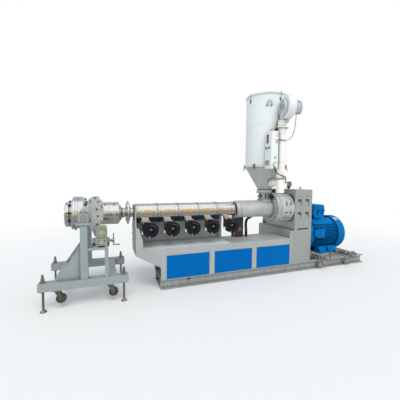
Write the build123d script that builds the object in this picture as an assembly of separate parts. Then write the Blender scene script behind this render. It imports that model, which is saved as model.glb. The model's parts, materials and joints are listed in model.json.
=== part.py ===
from build123d import *
import math
import os

# Plastic pipe extrusion line: extruder with hopper dryer and motor, and the die head on its trolley.
# X runs along the machine from the die to the motor, Y away from the operator's side, Z up, in mm.
# Machine coordinates start at the base's left end, on the screw's centre line, on the floor.

# Screw line
AXIS_HEIGHT = 1003.0
ZONE_COUNT = 5
ZONE_LENGTH = 286.0
ZONE_GAP = 8.0
BARREL_START = -304.0
BARREL_RADIUS = 65.0
JACKET_RADIUS = 90.0
COVER_RADIUS = 112.0
COVER_SKIRT = 55.0
COVER_WALL = 3.0
COVER_CLEARANCE = 1.0
COVER_BEAD = 4.0
COVER_BEAD_WIDTH = 14.0
FEED_RADIUS = 130.0
FEED_START_GAP = 30.0
FEED_SHOULDER = 16.0
FEED_RING = 62.0
FEED_GROOVE = 5.0

# Base and frame
BASE_LENGTH = 3650.0
BASE_FRONT = -225.0
BASE_REAR = 225.0
MOTOR_BASE_REAR = 640.0
MOTOR_BASE_START = 1990.0
CHANNEL_HEIGHT = 133.0
CHANNEL_WIDTH = 60.0
CHANNEL_WEB = 8.0
CHANNEL_FLANGE = 10.0
MIDDLE_MEMBER_X = 1000.0
LIFT_HOLE_RADIUS = 20.0
LIFT_HOLE_X = 388.0
LIFT_HOLE_Z = 93.0
DECK_HEIGHT = 545.0
SHEET = 6.0
NOSE_HEIGHT = 473.0
NOSE_FOOT_HEIGHT = 300.0
END_PLATE_THICKNESS = 12.0
END_PLATE_HALF_WIDTH = 180.0
END_PLATE_TOP_ABOVE_AXIS = 92.0
CHEEK_LENGTH = 76.0
CHEEK_STEP = 110.0
CHEEK_HEIGHT = 280.0
CHEEK_THICKNESS = 8.0
PANEL_THICKNESS = 3.0
PANEL_GAP = 79.0
PANEL_START = 74.0
PANEL_LENGTH = 598.0
PANEL_COUNT = 3
PANEL_RAISE = 4.0
PANEL_TOP_DROP = 96.0
SHIELD_LENGTH = 1294.0
SHIELD_TOP = 838.0
SHIELD_LIP = 34.0
SHIELD_POST = 50.0

# Blowers under the barrel
BLOWER_RADIUS = 106.0
BLOWER_GROWTH = 8.0
BLOWER_DEPTH = 72.0
BLOWER_DROP = 204.0
BLOWER_SHIFT = 35.0
BLOWER_FRONT = -215.0
BLOWER_MOUTH_WIDTH = 84.0
BLOWER_MOUTH_REACH = 101.0
INLET_RADIUS = 48.0
INLET_RIM = 10.0
INLET_DEPTH = 42.0
FAN_HUB_RADIUS = 20.0
BLOWER_MOTOR_RADIUS = 44.0
BLOWER_MOTOR_LENGTH = 70.0
DUCT_COLLAR = 16.0
DUCT_COLLAR_THICKNESS = 11.0
DUCT_TOP_WIDTH = 92.0
DUCT_TOP_BACK = -58.0

# Gearbox and belt guard
DRUM_RADIUS = 226.0
FLANGE_RADIUS = 240.0
FLANGE_THICKNESS = 45.0
FLANGE_X = 1785.0
FLANGE_GROOVE_X = 1862.0
HOUSING_X = 2030.0
GUARD_X = 2108.0
GUARD_END = 2440.0
GUARD_SHEET = 5.0
GUARD_TOP_BAND = 80.0
GUARD_SIDE_LIP = 18.0
HOUSING_TOP = 655.0
GUARD_TOP = 1300.0
CASE_X = 2136.0
SPIGOT_RADIUS = 180.0
GUARD_CLEARANCE = 4.0
CASE_GAP = 45.0
CASE_EDGE = 30.0
WINDOW_X = (1950.0, 2032.0)
WINDOW_WIDTH = 50.0
WINDOW_HEIGHT = 92.0
WINDOW_TILT = 26.0
WINDOW_DEPTH = 30.0
PORT_RADIUS = 16.0
PORT_TILT = -14.6
LUG_TILT = -35.0
LUG_RADIUS = 20.0
LUG_RISE = 14.0
LOUVRE_X = (2160.0, 2308.0)
LOUVRE_Z = (838.0, 1042.0)
LOUVRE_WIDTH = 76.0
LOUVRE_HEIGHT = 108.0
LOUVRE_DEPTH = 28.0
GRIP_SLOT_X = (2165.0, 2378.0)
GRIP_SLOT_Z = 678.0
GRIP_SLOT_HEIGHT = 16.0
VENT_SLOT_RISE = 46.0
VENT_SLOT_HEIGHT = 6.0
BREATHER_X = 2157.0
BREATHER_Z = 1384.0
BREATHER_RADIUS = 48.0
BREATHER_THICKNESS = 34.0
BREATHER_STEM_RADIUS = 13.0

# Motor
MOTOR_Y = 290.0
MOTOR_AXIS_ABOVE_CARRIAGE = 315.0
MOTOR_BODY_RADIUS = 268.0
MOTOR_NOSE_RADIUS = 150.0
MOTOR_BULGE = (0.3, 0.86)
MOTOR_SHOULDER = 40.0
FIN_HEIGHT = 26.0
FIN_THICKNESS = 7.0
FIN_PITCH = 24.0
FIN_COUNT_EACH_SIDE = 14
FACET_TILT = 55.0
FACET_WIDTH = 150.0
FACET_END_GAP = 30.0
FACET_ROOT = 214.0
PAD_X = (2803.0, 2965.0)
PAD_Z = (-38.0, 146.0)
PAD_RAISE = 6.0
FAN_COVER_RADIUS = 312.0
FAN_COVER_EDGE = 44.0
FAN_RING_COUNT = 4
FAN_RING_START = 68.0
FAN_RING_PITCH = 44.0
FAN_RING_WIDTH = 22.0
FAN_RING_DEPTH = 14.0
FAN_SPOKE = 9.0
MOTOR_START = 2600.0
SHIELD_END = 2780.0
FAN_COVER_X = 3285.0
MOTOR_END = 3462.0
MOTOR_SHAFT_RADIUS = 45.0
SLIDE_HEIGHT = 18.0
SLIDE_WIDTH = 100.0
SLIDE_INSET = 90.0
CARRIAGE_THICKNESS = 16.0
CARRIAGE_HALF_WIDTH = 312.0
NUT_BLOCK = 40.0
NUT_BLOCK_HALF = 32.0
FOOT_X = (2877.0, 3269.0)
FOOT_REACH = 305.0
FOOT_INNER = 150.0
FOOT_THICKNESS = 30.0
FOOT_WEB_HEIGHT = 105.0
FOOT_TOE = 70.0
FOOT_NOTCH_X = (3034.0, 3085.0)
FOOT_NOTCH_DEPTH = 70.0
TERMINAL_X = (2820.0, 3055.0)
TERMINAL_Y = (-180.0, 60.0)
TERMINAL_HEIGHT = 230.0
TERMINAL_CORNER = 48.0
TERMINAL_NECK = 40.0
TERMINAL_NECK_INSET = 54.0
TERMINAL_NECK_ROOT = 60.0
GLAND_RADIUS = 17.0
GLAND_LENGTH = 26.0
SCREW_X = (2655.0, 3235.0)
SCREW_RADIUS = 12.0
SCREW_CLEARANCE = 0.5
SCREW_HEIGHT = 188.0
BRACKET_THICKNESS = 12.0
BRACKET_WIDTH = 60.0
BRACKET_FOOT_Z = 0.0
BRACKET_ABOVE_SCREW = 34.0
HANDWHEEL_RADIUS = (100.0, 82.0)
HANDWHEEL_RIM = 9.0
HANDWHEEL_SPOKE = 6.5
HANDWHEEL_HUB = 26.0
HANDWHEEL_DISH = 14.0
HANDWHEEL_Y = -330.0

# Hopper dryer
DRYER_X = 1690.0
DRYER_RADIUS = 300.0
DRYER_BOTTOM = 1645.0
DRYER_TOP = 2680.0
CONE_BOTTOM = 1291.0
CONE_FOOT_RADIUS = 95.0
HOPPER_WALL = 4.0
HOPPER_RIM = 8.0
HOPPER_RIM_HEIGHT = 10.0
LID_OVERHANG = 14.0
LID_RIM = 34.0
LID_RISE = 70.0
LID_EDGE = 10.0
LATCH_COUNT = 6
LATCH_START = 205.0
LATCH_SIZE = (14.0, 30.0, 66.0)
LATCH_KEEPER = 16.0
HOPPER_FLANGE_RADIUS = 120.0
HOPPER_FLANGE_THICKNESS = 36.0
THROAT_HALF = 62.0
THROAT_PLATE = 12.0
SADDLE_HALF = 78.0
SADDLE_DROP = 26.0
SIGHT_WIDTH = 26.0
SIGHT_HEIGHT = 66.0
SIGHT_DEPTH = 12.0
THROAT_KNOBS = ((9.0, 30.0, 24.0, 20.0), (10.0, 34.0, 26.0, 18.0))
THROAT_KNOB_INSET = 16.0
TUBE_Y = -379.0
TUBE_X = 1696.0
TUBE_RADIUS = 56.0
TUBE_BOTTOM = 1262.0
TUBE_TOP_GAP = 5.0
TUBE_COLLAR = 4.0
TUBE_COLLAR_HEIGHT = 22.0
TUBE_LOW_COLLAR_ABOVE_FOOT = 430.0
TUBE_HIGH_COLLAR_BELOW_TOP = 151.0
TUBE_FLANGE = 36.0
TUBE_FLANGE_BELOW_TOP = 71.0
TUBE_FLANGE_HEIGHT = 12.0
BRANCH_RADIUS = 46.0
BRANCH_ABOVE_CONE_FOOT = 109.0
BRANCH_COLLAR = 14.0
BOX_X = 1482.0
BOX_WIDTH = 122.0
BOX_FRONT = -436.0
BOX_DEPTH = 138.0
BOX_BOTTOM = 1600.0
BOX_HEIGHT = 520.0
BOX_EDGE = 5.0
BOX_ARM = 30.0
KNOB_RADIUS = 11.0
KNOB_LENGTH = 16.0
VOLUTE_RADIUS = 173.0
VOLUTE_GROWTH = 8.0
VOLUTE_Y = -478.0
VOLUTE_WIDTH = 110.0
VOLUTE_TURN = -15.0
VOLUTE_HEIGHT = 2440.0
VOLUTE_X = 1715.0
VOLUTE_MOUTH_WIDTH = 120.0
VOLUTE_MOUTH_REACH = 186.0
VOLUTE_RIM = 12.0
FAN_MOTOR_RADIUS = 80.0
FAN_MOTOR_LENGTH = 120.0
FAN_INLET_RADIUS = 104.0
FAN_INLET_DEPTH = 28.0
FAN_INLET_RECESS = 12.0

# Cables of the dryer, as chosen points, and their glands
CABLE_RADIUS = 7.0
CABLE_ROUTE = [
    (1545, -450, 1625), (1546, -451, 1580), (1572, -454, 1543), (1618, -457, 1518),
    (1668, -457, 1502), (1716, -452, 1492), (1768, -418, 1470), (1775, -386, 1413),
]
FAN_CABLE_RADIUS = 4.0
FAN_CABLE_ROUTE = [
    (1616, -402, 2012), (1660, -432, 2001), (1716, -456, 1994), (1768, -466, 2014), (1806, -474, 2062),
    (1824, -482, 2130), (1832, -492, 2210), (1830, -503, 2290), (1828, -508, 2352),
]
CABLE_GLAND = 18.0
GLAND_SEAT = 12.0
GLAND_WALL = 4.0

# Die head
DIE_X = -1109.0
DIE_RING_LENGTH = 48.0
DIE_RING_RADIUS = 148.0
DIE_OUTLET_RADIUS = 100.0
DIE_PIN_RADIUS = 84.0
DIE_OUTLET_DEPTH = 30.0
DIE_SEAM = 6.0
DIE_BODY_RADIUS = 214.0
DIE_FLAT_DROP = 150.0
BELT_X = (-1019.0, -912.0)
BELT_GROOVE = 4.0
BELT_GROOVE_WIDTH = 6.0
DIE_NECK_X = -867.0
DIE_NECK_RADIUS = 160.0
DIE_PLATE_START = -846.0
DIE_PLATE_END = -736.0
SIDE_PLATE_FACE = 185.0
SIDE_PLATE_THICKNESS = 28.0
BAND_RADIUS = 140.0
BAND_THICKNESS = 8.0
BAND_GAP = 4.0
BAND_END = -507.0
DIE_CONE_LENGTH = 50.0
NECK_RADIUS = 50.0
NECK_RING_RADIUS = 62.0
NECK_RING_WIDTH = 22.0
CLAMP_START = -420.0
CLAMP_END = -366.0
CLAMP_RADIUS = 150.0
CLAMP_RIM_WIDTH = 18.0
CLAMP_HUB_RADIUS = 80.0
ADAPTER_SPIGOT = 44.0
TRUNNION_X = -889.0
TRUNNION_RADIUS = 36.0
EAR_FACE = 285.0
EAR_THICKNESS = 20.0

# Trolley
TROLLEY_LEFT = -1340.0
TROLLEY_RIGHT = -425.0
BEAM_SIZE = 90.0
BEAM_WALL = 6.0
BEAM_Y = 355.0
BEAM_BOTTOM = 231.0
POST_SIZE = 76.0
POST_TOP = 920.0
CRADLE_LENGTH = 160.0
CRADLE_THICKNESS = 32.0
BEARING_WIDTH = 110.0
BEARING_DEPTH = 84.0
BEARING_ABOVE_AXIS = 46.0
BEARING_END_WALL = 8.0
BEARING_CAP_RADIUS = 28.0
BEARING_CAP_HEIGHT = 5.0
CROSS_X = (-1150.0, -600.0)
GUSSET_REACH = 249.0
GUSSET_RISE = 367.0
GUSSET_THICKNESS = 10.0
STAND_TOP = 665.0
STAND_THICKNESS = 28.0
STAND_RIGHT = -636.0
STAND_LEG = 40.0
STAND_BACK = -200.0
FOOT_SCREW_X = (-1300.0, -470.0)
FOOT_SCREW_RADIUS = 12.0
FOOT_RADIUS = 34.0
FOOT_RIM = 5.0
FOOT_HEIGHT = 22.0
LOCKNUT_RADIUS = 24.0
LOCKNUT_HEIGHT = 16.0
SCREW_CAP_HEIGHT = 62.0
SCREW_STUB = 24.0

# Casters
CASTER_X = (-1162.0, -622.0)
CASTER_TRAIL = 36.0
WHEEL_RADIUS = 52.0
WHEEL_WIDTH = 32.0
WHEEL_CENTRE = 130.0
CASTER_PLATE = 90.0
CASTER_PLATE_THICKNESS = 6.0
CASTER_PLATE_GAP = 4.0
AXLE_RADIUS = 6.0
ROLL_CLEARANCE = 0.5
FORK_GAP = 5.0
FORK_ARM = 5.0
FORK_CROWN_RADIUS = 30.0
FORK_CROWN_HEIGHT = 8.0
KINGPIN_RADIUS = 10.0

# Worm reducer
REDUCER_X = (-793.0, -625.0)
REDUCER_Y = (-395.0, -225.0)
REDUCER_TOP = 893.0
REDUCER_WAIST = 770.0
REDUCER_FOOT = 14.0
REDUCER_LUG = 24.0
REDUCER_INSET = 22.0
REDUCER_SLOPE = 22.0
WORM_COVER_REACH = 6.0
REDUCER_COVER_RADIUS = 60.0
WORM_HEIGHT = 721.0
WORM_RADIUS = 12.0
WORM_REACH = 47.0
WORM_COVER_RADIUS = 40.0
CRANK_RADIUS = 76.0
CRANK_ROD = 6.0
CRANK_HUB_RADIUS = 20.0
CRANK_GRIP_LENGTH = 70.0

ZONES_END = BARREL_START + ZONE_COUNT * ZONE_LENGTH
BEAM_TOP = BEAM_BOTTOM + BEAM_SIZE
COVER_LOW = AXIS_HEIGHT - COVER_SKIRT
CARRIAGE_LOW = CHANNEL_HEIGHT + SLIDE_HEIGHT
CARRIAGE_TOP = CARRIAGE_LOW + CARRIAGE_THICKNESS
MOTOR_Z = CARRIAGE_TOP + MOTOR_AXIS_ABOVE_CARRIAGE
FIN_RADIUS = MOTOR_BODY_RADIUS + FIN_HEIGHT
BRANCH_HEIGHT = CONE_BOTTOM + BRANCH_ABOVE_CONE_FOOT
TUBE_TOP = VOLUTE_HEIGHT - VOLUTE_MOUTH_REACH - TUBE_TOP_GAP
FORK_TOP = BEAM_BOTTOM - CASTER_PLATE_THICKNESS - CASTER_PLATE_GAP
CASTER_NAMES = (("front_left", 0, -1), ("front_right", 1, -1), ("rear_left", 0, 1), ("rear_right", 1, 1))
VOLUTE_SIN = abs(math.sin(math.radians(VOLUTE_TURN)))
VOLUTE_COS = math.cos(math.radians(VOLUTE_TURN))
VOLUTE_FACE = VOLUTE_WIDTH / 2 - VOLUTE_RIM
FRONT_REACH = VOLUTE_Y - (VOLUTE_RADIUS - VOLUTE_GROWTH) * VOLUTE_COS - VOLUTE_FACE * VOLUTE_SIN
CENTRE_X = (TROLLEY_LEFT + BASE_LENGTH) / 2
CENTRE_Y = (FRONT_REACH + MOTOR_BASE_REAR) / 2


def save(name, shape):
    """Write one sub-part, moved so that the origin is the bottom centre of the whole machine."""
    placed = Pos(-CENTRE_X, -CENTRE_Y, 0) * shape
    placed.label = name
    export_step(placed, os.path.join("parts", name + ".step"))


def group(pieces):
    return Compound(children=list(pieces))


def block(x0, x1, y0, y1, z0, z1):
    """A rectangular block between two corners."""
    return Pos((x0 + x1) / 2, (y0 + y1) / 2, (z0 + z1) / 2) * Box(x1 - x0, y1 - y0, z1 - z0)


def rod_x(x0, x1, radius, y, z):
    return Pos((x0 + x1) / 2, y, z) * Rot(0, 90, 0) * Cylinder(radius, x1 - x0)


def rod_y(y0, y1, radius, x, z):
    return Pos(x, (y0 + y1) / 2, z) * Rot(90, 0, 0) * Cylinder(radius, y1 - y0)


def rod_z(z0, z1, radius, x, y):
    return Pos(x, y, (z0 + z1) / 2) * Cylinder(radius, z1 - z0)


def thick_xz(outline, y0, y1):
    """A plate from an outline in X and Z, between two Y faces."""
    return Pos(0, y1, 0) * extrude(Plane.XZ * outline, amount=y1 - y0)


def plate_xz(points, y0, y1):
    return thick_xz(make_face(Polyline(*points, close=True)), y0, y1)


def plate_yz(points, x0, x1):
    """A plate with its outline in Y and Z, between two X faces."""
    outline = make_face(Polyline(*points, close=True))
    return Pos(x0, 0, 0) * extrude(Plane.YZ * outline, amount=x1 - x0)


def turned_x(points, y, z):
    """A turned form about a line along X, from (x, radius) points."""
    return Pos(0, y, z) * revolve(make_face(Polyline(*points, close=True)), Axis.X)


def turned_z(points, x, y):
    """A turned form about a vertical line, from (radius, z) points."""
    return Pos(x, y, 0) * revolve(Plane.XZ * make_face(Polyline(*points, close=True)), Axis.Z)


def tube_x(x0, x1, y, z, size, wall):
    """A square tube along X."""
    half = size / 2
    outer = block(x0, x1, y - half, y + half, z - half, z + half)
    return outer - block(x0, x1, y - half + wall, y + half - wall, z - half + wall, z + half - wall)


def channel_section(face, side):
    """The outline of a rolled channel: web at face, flanges towards side, standing on the floor."""
    web = face + side * CHANNEL_WEB
    tip = face + side * CHANNEL_WIDTH
    top = CHANNEL_HEIGHT
    return [
        (face, 0),
        (tip, 0),
        (tip, CHANNEL_FLANGE),
        (web, CHANNEL_FLANGE),
        (web, top - CHANNEL_FLANGE),
        (tip, top - CHANNEL_FLANGE),
        (tip, top),
        (face, top),
    ]


def scroll_outline(radius, growth, mouth_width, mouth_reach):
    """A blower's spiral outline about its shaft, its mouth at the left and pointing up.

    Three quarter turns widen by one growth each, as on a scroll laid out from a small square.
    """
    small = radius - 2 * growth
    middle = radius - growth
    first = CenterArc((growth, -growth), small, 90, -90)
    second = CenterArc((0, -growth), middle, 0, -90)
    third = CenterArc((0, 0), radius, -90, -90)
    cut_off = small - growth
    mouth = Polyline(
        (-radius, 0),
        (-radius, mouth_reach),
        (mouth_width - radius, mouth_reach),
        (mouth_width - radius, cut_off * 0.97),
        (growth, cut_off),
    )
    return make_face([first, second, third, mouth])


def base_channels():
    """Long channels open to the outside; the rear one steps back under the motor."""
    front = plate_yz(channel_section(BASE_FRONT + CHANNEL_WIDTH, -1), 0, BASE_LENGTH)
    rear = plate_yz(channel_section(BASE_REAR - CHANNEL_WIDTH, 1), 0, MOTOR_BASE_START)
    hole = rod_y(BASE_FRONT, BASE_REAR, LIFT_HOLE_RADIUS, LIFT_HOLE_X, LIFT_HOLE_Z)
    front -= hole
    rear -= hole
    motor_rear = plate_yz(channel_section(MOTOR_BASE_REAR - CHANNEL_WIDTH, 1), MOTOR_BASE_START, BASE_LENGTH)
    return group([front, rear, motor_rear])


def base_cross_members():
    """Cross members between the webs of the long channels, those at the ends open to the outside."""
    front = BASE_FRONT + CHANNEL_WIDTH
    narrow = BASE_REAR - CHANNEL_WIDTH
    wide = MOTOR_BASE_REAR - CHANNEL_WIDTH
    members = [(CHANNEL_WIDTH, -1, narrow), (MIDDLE_MEMBER_X, 1, narrow)]
    members += [(MOTOR_BASE_START, 1, wide), (GUARD_END, 1, wide), (BASE_LENGTH - CHANNEL_WIDTH, 1, wide)]
    return group(plate_xz(channel_section(x, side), front, back) for x, side, back in members)


def side_wall(y0, y1):
    """The frame's long side: a vertical wall with the sloping nose at the die end."""
    points = [
        (0, CHANNEL_HEIGHT),
        (HOUSING_X, CHANNEL_HEIGHT),
        (HOUSING_X, DECK_HEIGHT - SHEET),
        (BARREL_START, DECK_HEIGHT - SHEET),
        (BARREL_START, NOSE_HEIGHT),
        (0, NOSE_FOOT_HEIGHT),
    ]
    return plate_xz(points, y0, y1)


def deck():
    return block(BARREL_START, HOUSING_X, BASE_FRONT, BASE_REAR, DECK_HEIGHT - SHEET, DECK_HEIGHT)


def front_panels():
    """Raised panels in a row on the front wall."""
    bottom = CHANNEL_HEIGHT + PANEL_RAISE
    top = DECK_HEIGHT - PANEL_TOP_DROP
    front = BASE_FRONT - PANEL_THICKNESS
    pieces = []
    for index in range(PANEL_COUNT):
        x = PANEL_START + index * (PANEL_LENGTH + PANEL_GAP)
        pieces.append(block(x, x + PANEL_LENGTH, front, BASE_FRONT, bottom, top))
    return group(pieces)


def end_plate_cheek(y0, y1):
    """A cheek on the deck that stiffens one edge of the end plate, with rounded shoulders."""
    x0 = BARREL_START
    points = [
        (x0, DECK_HEIGHT),
        (x0 + CHEEK_LENGTH, DECK_HEIGHT),
        (x0 + CHEEK_LENGTH, DECK_HEIGHT + CHEEK_STEP),
        (x0 + CHEEK_LENGTH / 3, DECK_HEIGHT + CHEEK_HEIGHT),
        (x0, DECK_HEIGHT + CHEEK_HEIGHT),
    ]
    outline = make_face(Polyline(*points, close=True))
    shoulders = outline.vertices().filter_by(lambda v: v.X > x0 + 1 and v.Y > DECK_HEIGHT + 1)
    return thick_xz(fillet(shoulders, CHEEK_LENGTH / 4), y0, y1)


def barrel_end_plate():
    """The plate at the die end that carries the barrel, bored for it, with a cheek on each side."""
    half = END_PLATE_HALF_WIDTH
    top = AXIS_HEIGHT + END_PLATE_TOP_ABOVE_AXIS
    shoulder = DECK_HEIGHT + CHEEK_HEIGHT
    points = [
        (BASE_FRONT, NOSE_HEIGHT),
        (BASE_REAR, NOSE_HEIGHT),
        (BASE_REAR, shoulder),
        (half, shoulder + (BASE_REAR - half)),
        (half, top),
        (-half, top),
        (-half, shoulder + (BASE_REAR - half)),
        (BASE_FRONT, shoulder),
    ]
    plate = plate_yz(points, BARREL_START - END_PLATE_THICKNESS, BARREL_START)
    plate -= rod_x(BARREL_START - 20, BARREL_START + 1, BARREL_RADIUS, 0, AXIS_HEIGHT)
    plate += end_plate_cheek(BASE_FRONT, BASE_FRONT + CHEEK_THICKNESS)
    plate += end_plate_cheek(BASE_REAR - CHEEK_THICKNESS, BASE_REAR)
    return plate


def rear_shield():
    """The sheet behind the blowers with its folded top lip and its end post."""
    end = BARREL_START + SHIELD_LENGTH
    y = BASE_REAR - CHEEK_THICKNESS
    sheet = block(BARREL_START, end, y - SHEET, y, DECK_HEIGHT, SHIELD_TOP)
    lip = block(BARREL_START, end, y - SHIELD_LIP, y, SHIELD_TOP - SHEET, SHIELD_TOP)
    post = block(end, end + SHIELD_POST, y - SHIELD_LIP, y, DECK_HEIGHT, COVER_LOW)
    return sheet + lip + post


def zone_span(index):
    """The two ends of one heating zone's cover along X."""
    x0 = BARREL_START + index * ZONE_LENGTH
    return x0 + ZONE_GAP / 2, x0 + ZONE_LENGTH - ZONE_GAP / 2


def barrel():
    """The barrel with a cast heater jacket in each zone."""
    start = CLAMP_END + ADAPTER_SPIGOT
    points = [(start, 0), (start, BARREL_RADIUS)]
    for index in range(ZONE_COUNT):
        x0, x1 = zone_span(index)
        low = x0 + COVER_WALL + COVER_CLEARANCE
        high = x1 - COVER_WALL - COVER_CLEARANCE
        points += [(low, BARREL_RADIUS), (low, JACKET_RADIUS), (high, JACKET_RADIUS), (high, BARREL_RADIUS)]
    end = ZONES_END + FEED_START_GAP
    points += [(end, BARREL_RADIUS), (end, 0)]
    return turned_x(points, 0, AXIS_HEIGHT)


def half_round(x0, x1, radius):
    """A bar with a round top and straight sides down to the covers' lower edge."""
    bar = rod_x(x0, x1, radius, 0, AXIS_HEIGHT) + block(x0, x1, -radius, radius, COVER_LOW, AXIS_HEIGHT)
    return bar - block(x0 - 1, x1 + 1, -radius, radius, AXIS_HEIGHT - radius - 1, COVER_LOW)


def heater_cover(x0, x1):
    """A half-round sheet cover with a bead at each end, closed at both ends down to the barrel."""
    beaded = COVER_RADIUS + COVER_BEAD
    shell = half_round(x0, x1, COVER_RADIUS)
    shell += half_round(x0, x0 + COVER_BEAD_WIDTH, beaded)
    shell += half_round(x1 - COVER_BEAD_WIDTH, x1, beaded)
    inner = half_round(x0 + COVER_WALL, x1 - COVER_WALL, COVER_RADIUS - COVER_WALL)
    return shell - inner - rod_x(x0 - 1, x1 + 1, BARREL_RADIUS, 0, AXIS_HEIGHT)


def heater_covers():
    return group(heater_cover(*zone_span(index)) for index in range(ZONE_COUNT))


def blower_x(index):
    return BARREL_START + (index + 0.5) * ZONE_LENGTH + BLOWER_SHIFT


def blower(index):
    """A snail blower: spiral case, inlet ring with the fan's hub in it, and the motor behind."""
    front = BLOWER_FRONT
    back = BLOWER_FRONT + BLOWER_DEPTH
    outline = scroll_outline(BLOWER_RADIUS, BLOWER_GROWTH, BLOWER_MOUTH_WIDTH, BLOWER_MOUTH_REACH)
    body = thick_xz(outline, front, back)
    body += rod_y(front - INLET_RIM, front, INLET_RADIUS + INLET_RIM, 0, 0)
    body -= rod_y(front - INLET_RIM - 1, front + INLET_DEPTH, INLET_RADIUS, 0, 0)
    body += rod_y(front, front + INLET_DEPTH, FAN_HUB_RADIUS, 0, 0)
    body += rod_y(back, back + BLOWER_MOTOR_LENGTH, BLOWER_MOTOR_RADIUS, 0, 0)
    return Pos(blower_x(index), 0, AXIS_HEIGHT - BLOWER_DROP) * body


def cooling_blowers():
    return group(blower(index) for index in range(ZONE_COUNT))


def blower_duct(index):
    """A sheet duct with a collar that leads from a blower's mouth up to the heater's underside."""
    x0 = blower_x(index) - BLOWER_RADIUS
    x1 = x0 + BLOWER_MOUTH_WIDTH
    back = BLOWER_FRONT + BLOWER_DEPTH
    low = AXIS_HEIGHT - BLOWER_DROP + BLOWER_MOUTH_REACH
    top_low = low + DUCT_COLLAR_THICKNESS
    collar = block(x0 - DUCT_COLLAR, x1 + DUCT_COLLAR, BLOWER_FRONT - DUCT_COLLAR, back, low, top_low)
    mid_x = (x0 + x1) / 2
    foot = Rectangle(BLOWER_MOUTH_WIDTH, BLOWER_DEPTH)
    mouth = Rectangle(DUCT_TOP_WIDTH, COVER_RADIUS + DUCT_TOP_BACK)
    foot_place = Plane.XY.offset(top_low) * Pos(mid_x, BLOWER_FRONT + BLOWER_DEPTH / 2)
    mouth_place = Plane.XY.offset(COVER_LOW) * Pos(mid_x, (DUCT_TOP_BACK - COVER_RADIUS) / 2)
    duct = loft([foot_place * foot, mouth_place * mouth])
    return collar + duct - rod_x(x0 - 50, x1 + 50, JACKET_RADIUS, 0, AXIS_HEIGHT)


def blower_ducts():
    return group(blower_duct(index) for index in range(ZONE_COUNT))


def feed_barrel():
    """The feed section: a shouldered ring, a groove and the plain length up to the gearbox."""
    start = ZONES_END + FEED_START_GAP
    groove = start + FEED_RING
    points = [
        (start, 0),
        (start, FEED_RADIUS - FEED_SHOULDER),
        (start + FEED_SHOULDER, FEED_RADIUS),
        (groove, FEED_RADIUS),
        (groove, FEED_RADIUS - FEED_GROOVE),
        (groove + FEED_GROOVE, FEED_RADIUS - FEED_GROOVE),
        (groove + FEED_GROOVE, FEED_RADIUS),
        (FLANGE_X, FEED_RADIUS),
        (FLANGE_X, 0),
    ]
    return turned_x(points, 0, AXIS_HEIGHT)


def on_drum(shape, x, tilt):
    """Put a shape drawn about the drum's front line at x, turned up round the drum by tilt."""
    return Pos(x, 0, AXIS_HEIGHT) * Rot(-tilt, 0, 0) * shape


def gearbox_drum():
    """The bolted flange and the round lantern with its windows, ports and lugs."""
    rim = FLANGE_X + FLANGE_THICKNESS
    groove = FLANGE_GROOVE_X
    points = [
        (FLANGE_X, 0),
        (FLANGE_X, FLANGE_RADIUS - 8),
        (FLANGE_X + 8, FLANGE_RADIUS),
        (rim, FLANGE_RADIUS),
        (rim, DRUM_RADIUS),
        (groove, DRUM_RADIUS),
        (groove, DRUM_RADIUS - FEED_GROOVE),
        (groove + FEED_GROOVE, DRUM_RADIUS - FEED_GROOVE),
        (groove + FEED_GROOVE, DRUM_RADIUS),
        (GUARD_X - GUARD_CLEARANCE, DRUM_RADIUS),
        (GUARD_X - GUARD_CLEARANCE, SPIGOT_RADIUS),
        (CASE_X, SPIGOT_RADIUS),
        (CASE_X, 0),
    ]
    drum = turned_x(points, 0, AXIS_HEIGHT)
    half = WINDOW_WIDTH / 2
    corners = [(-half, -WINDOW_HEIGHT / 2), (half, -WINDOW_HEIGHT / 2), (half, WINDOW_HEIGHT / 2)]
    outer = -DRUM_RADIUS - 10
    inner = WINDOW_DEPTH - DRUM_RADIUS
    for x in WINDOW_X:
        drum -= on_drum(plate_xz(corners, outer, inner), x, WINDOW_TILT)
        drum -= on_drum(rod_y(outer, inner, PORT_RADIUS, 0, 0), x, PORT_TILT)
        drum += on_drum(rod_y(-DRUM_RADIUS - LUG_RISE, inner, LUG_RADIUS, 0, 0), x, LUG_TILT)
    return drum


def gearbox_case():
    """The cast gearbox inside the belt guard, on top of the gear housing."""
    top = GUARD_TOP - GUARD_TOP_BAND
    body = block(CASE_X, GUARD_END - CASE_GAP, BASE_FRONT + CASE_GAP, MOTOR_BASE_REAR - CASE_GAP, HOUSING_TOP, top)
    return fillet(body.edges().filter_by(Axis.Z), CASE_EDGE)


def gear_housing():
    """The lower housing that carries the gearbox and the belt guard."""
    return block(HOUSING_X, GUARD_END, BASE_FRONT, MOTOR_BASE_REAR, CHANNEL_HEIGHT, HOUSING_TOP)


def louvre_wedge(x, z, grow):
    """The wedge under a louvre: deep at its top edge and running out at its bottom edge."""
    y = BASE_FRONT + GUARD_SHEET
    top = z + LOUVRE_HEIGHT + grow
    points = [(y - grow, z - grow), (y + LOUVRE_DEPTH + grow, top), (y - grow, top)]
    return plate_yz(points, x - grow, x + LOUVRE_WIDTH + grow)


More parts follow.
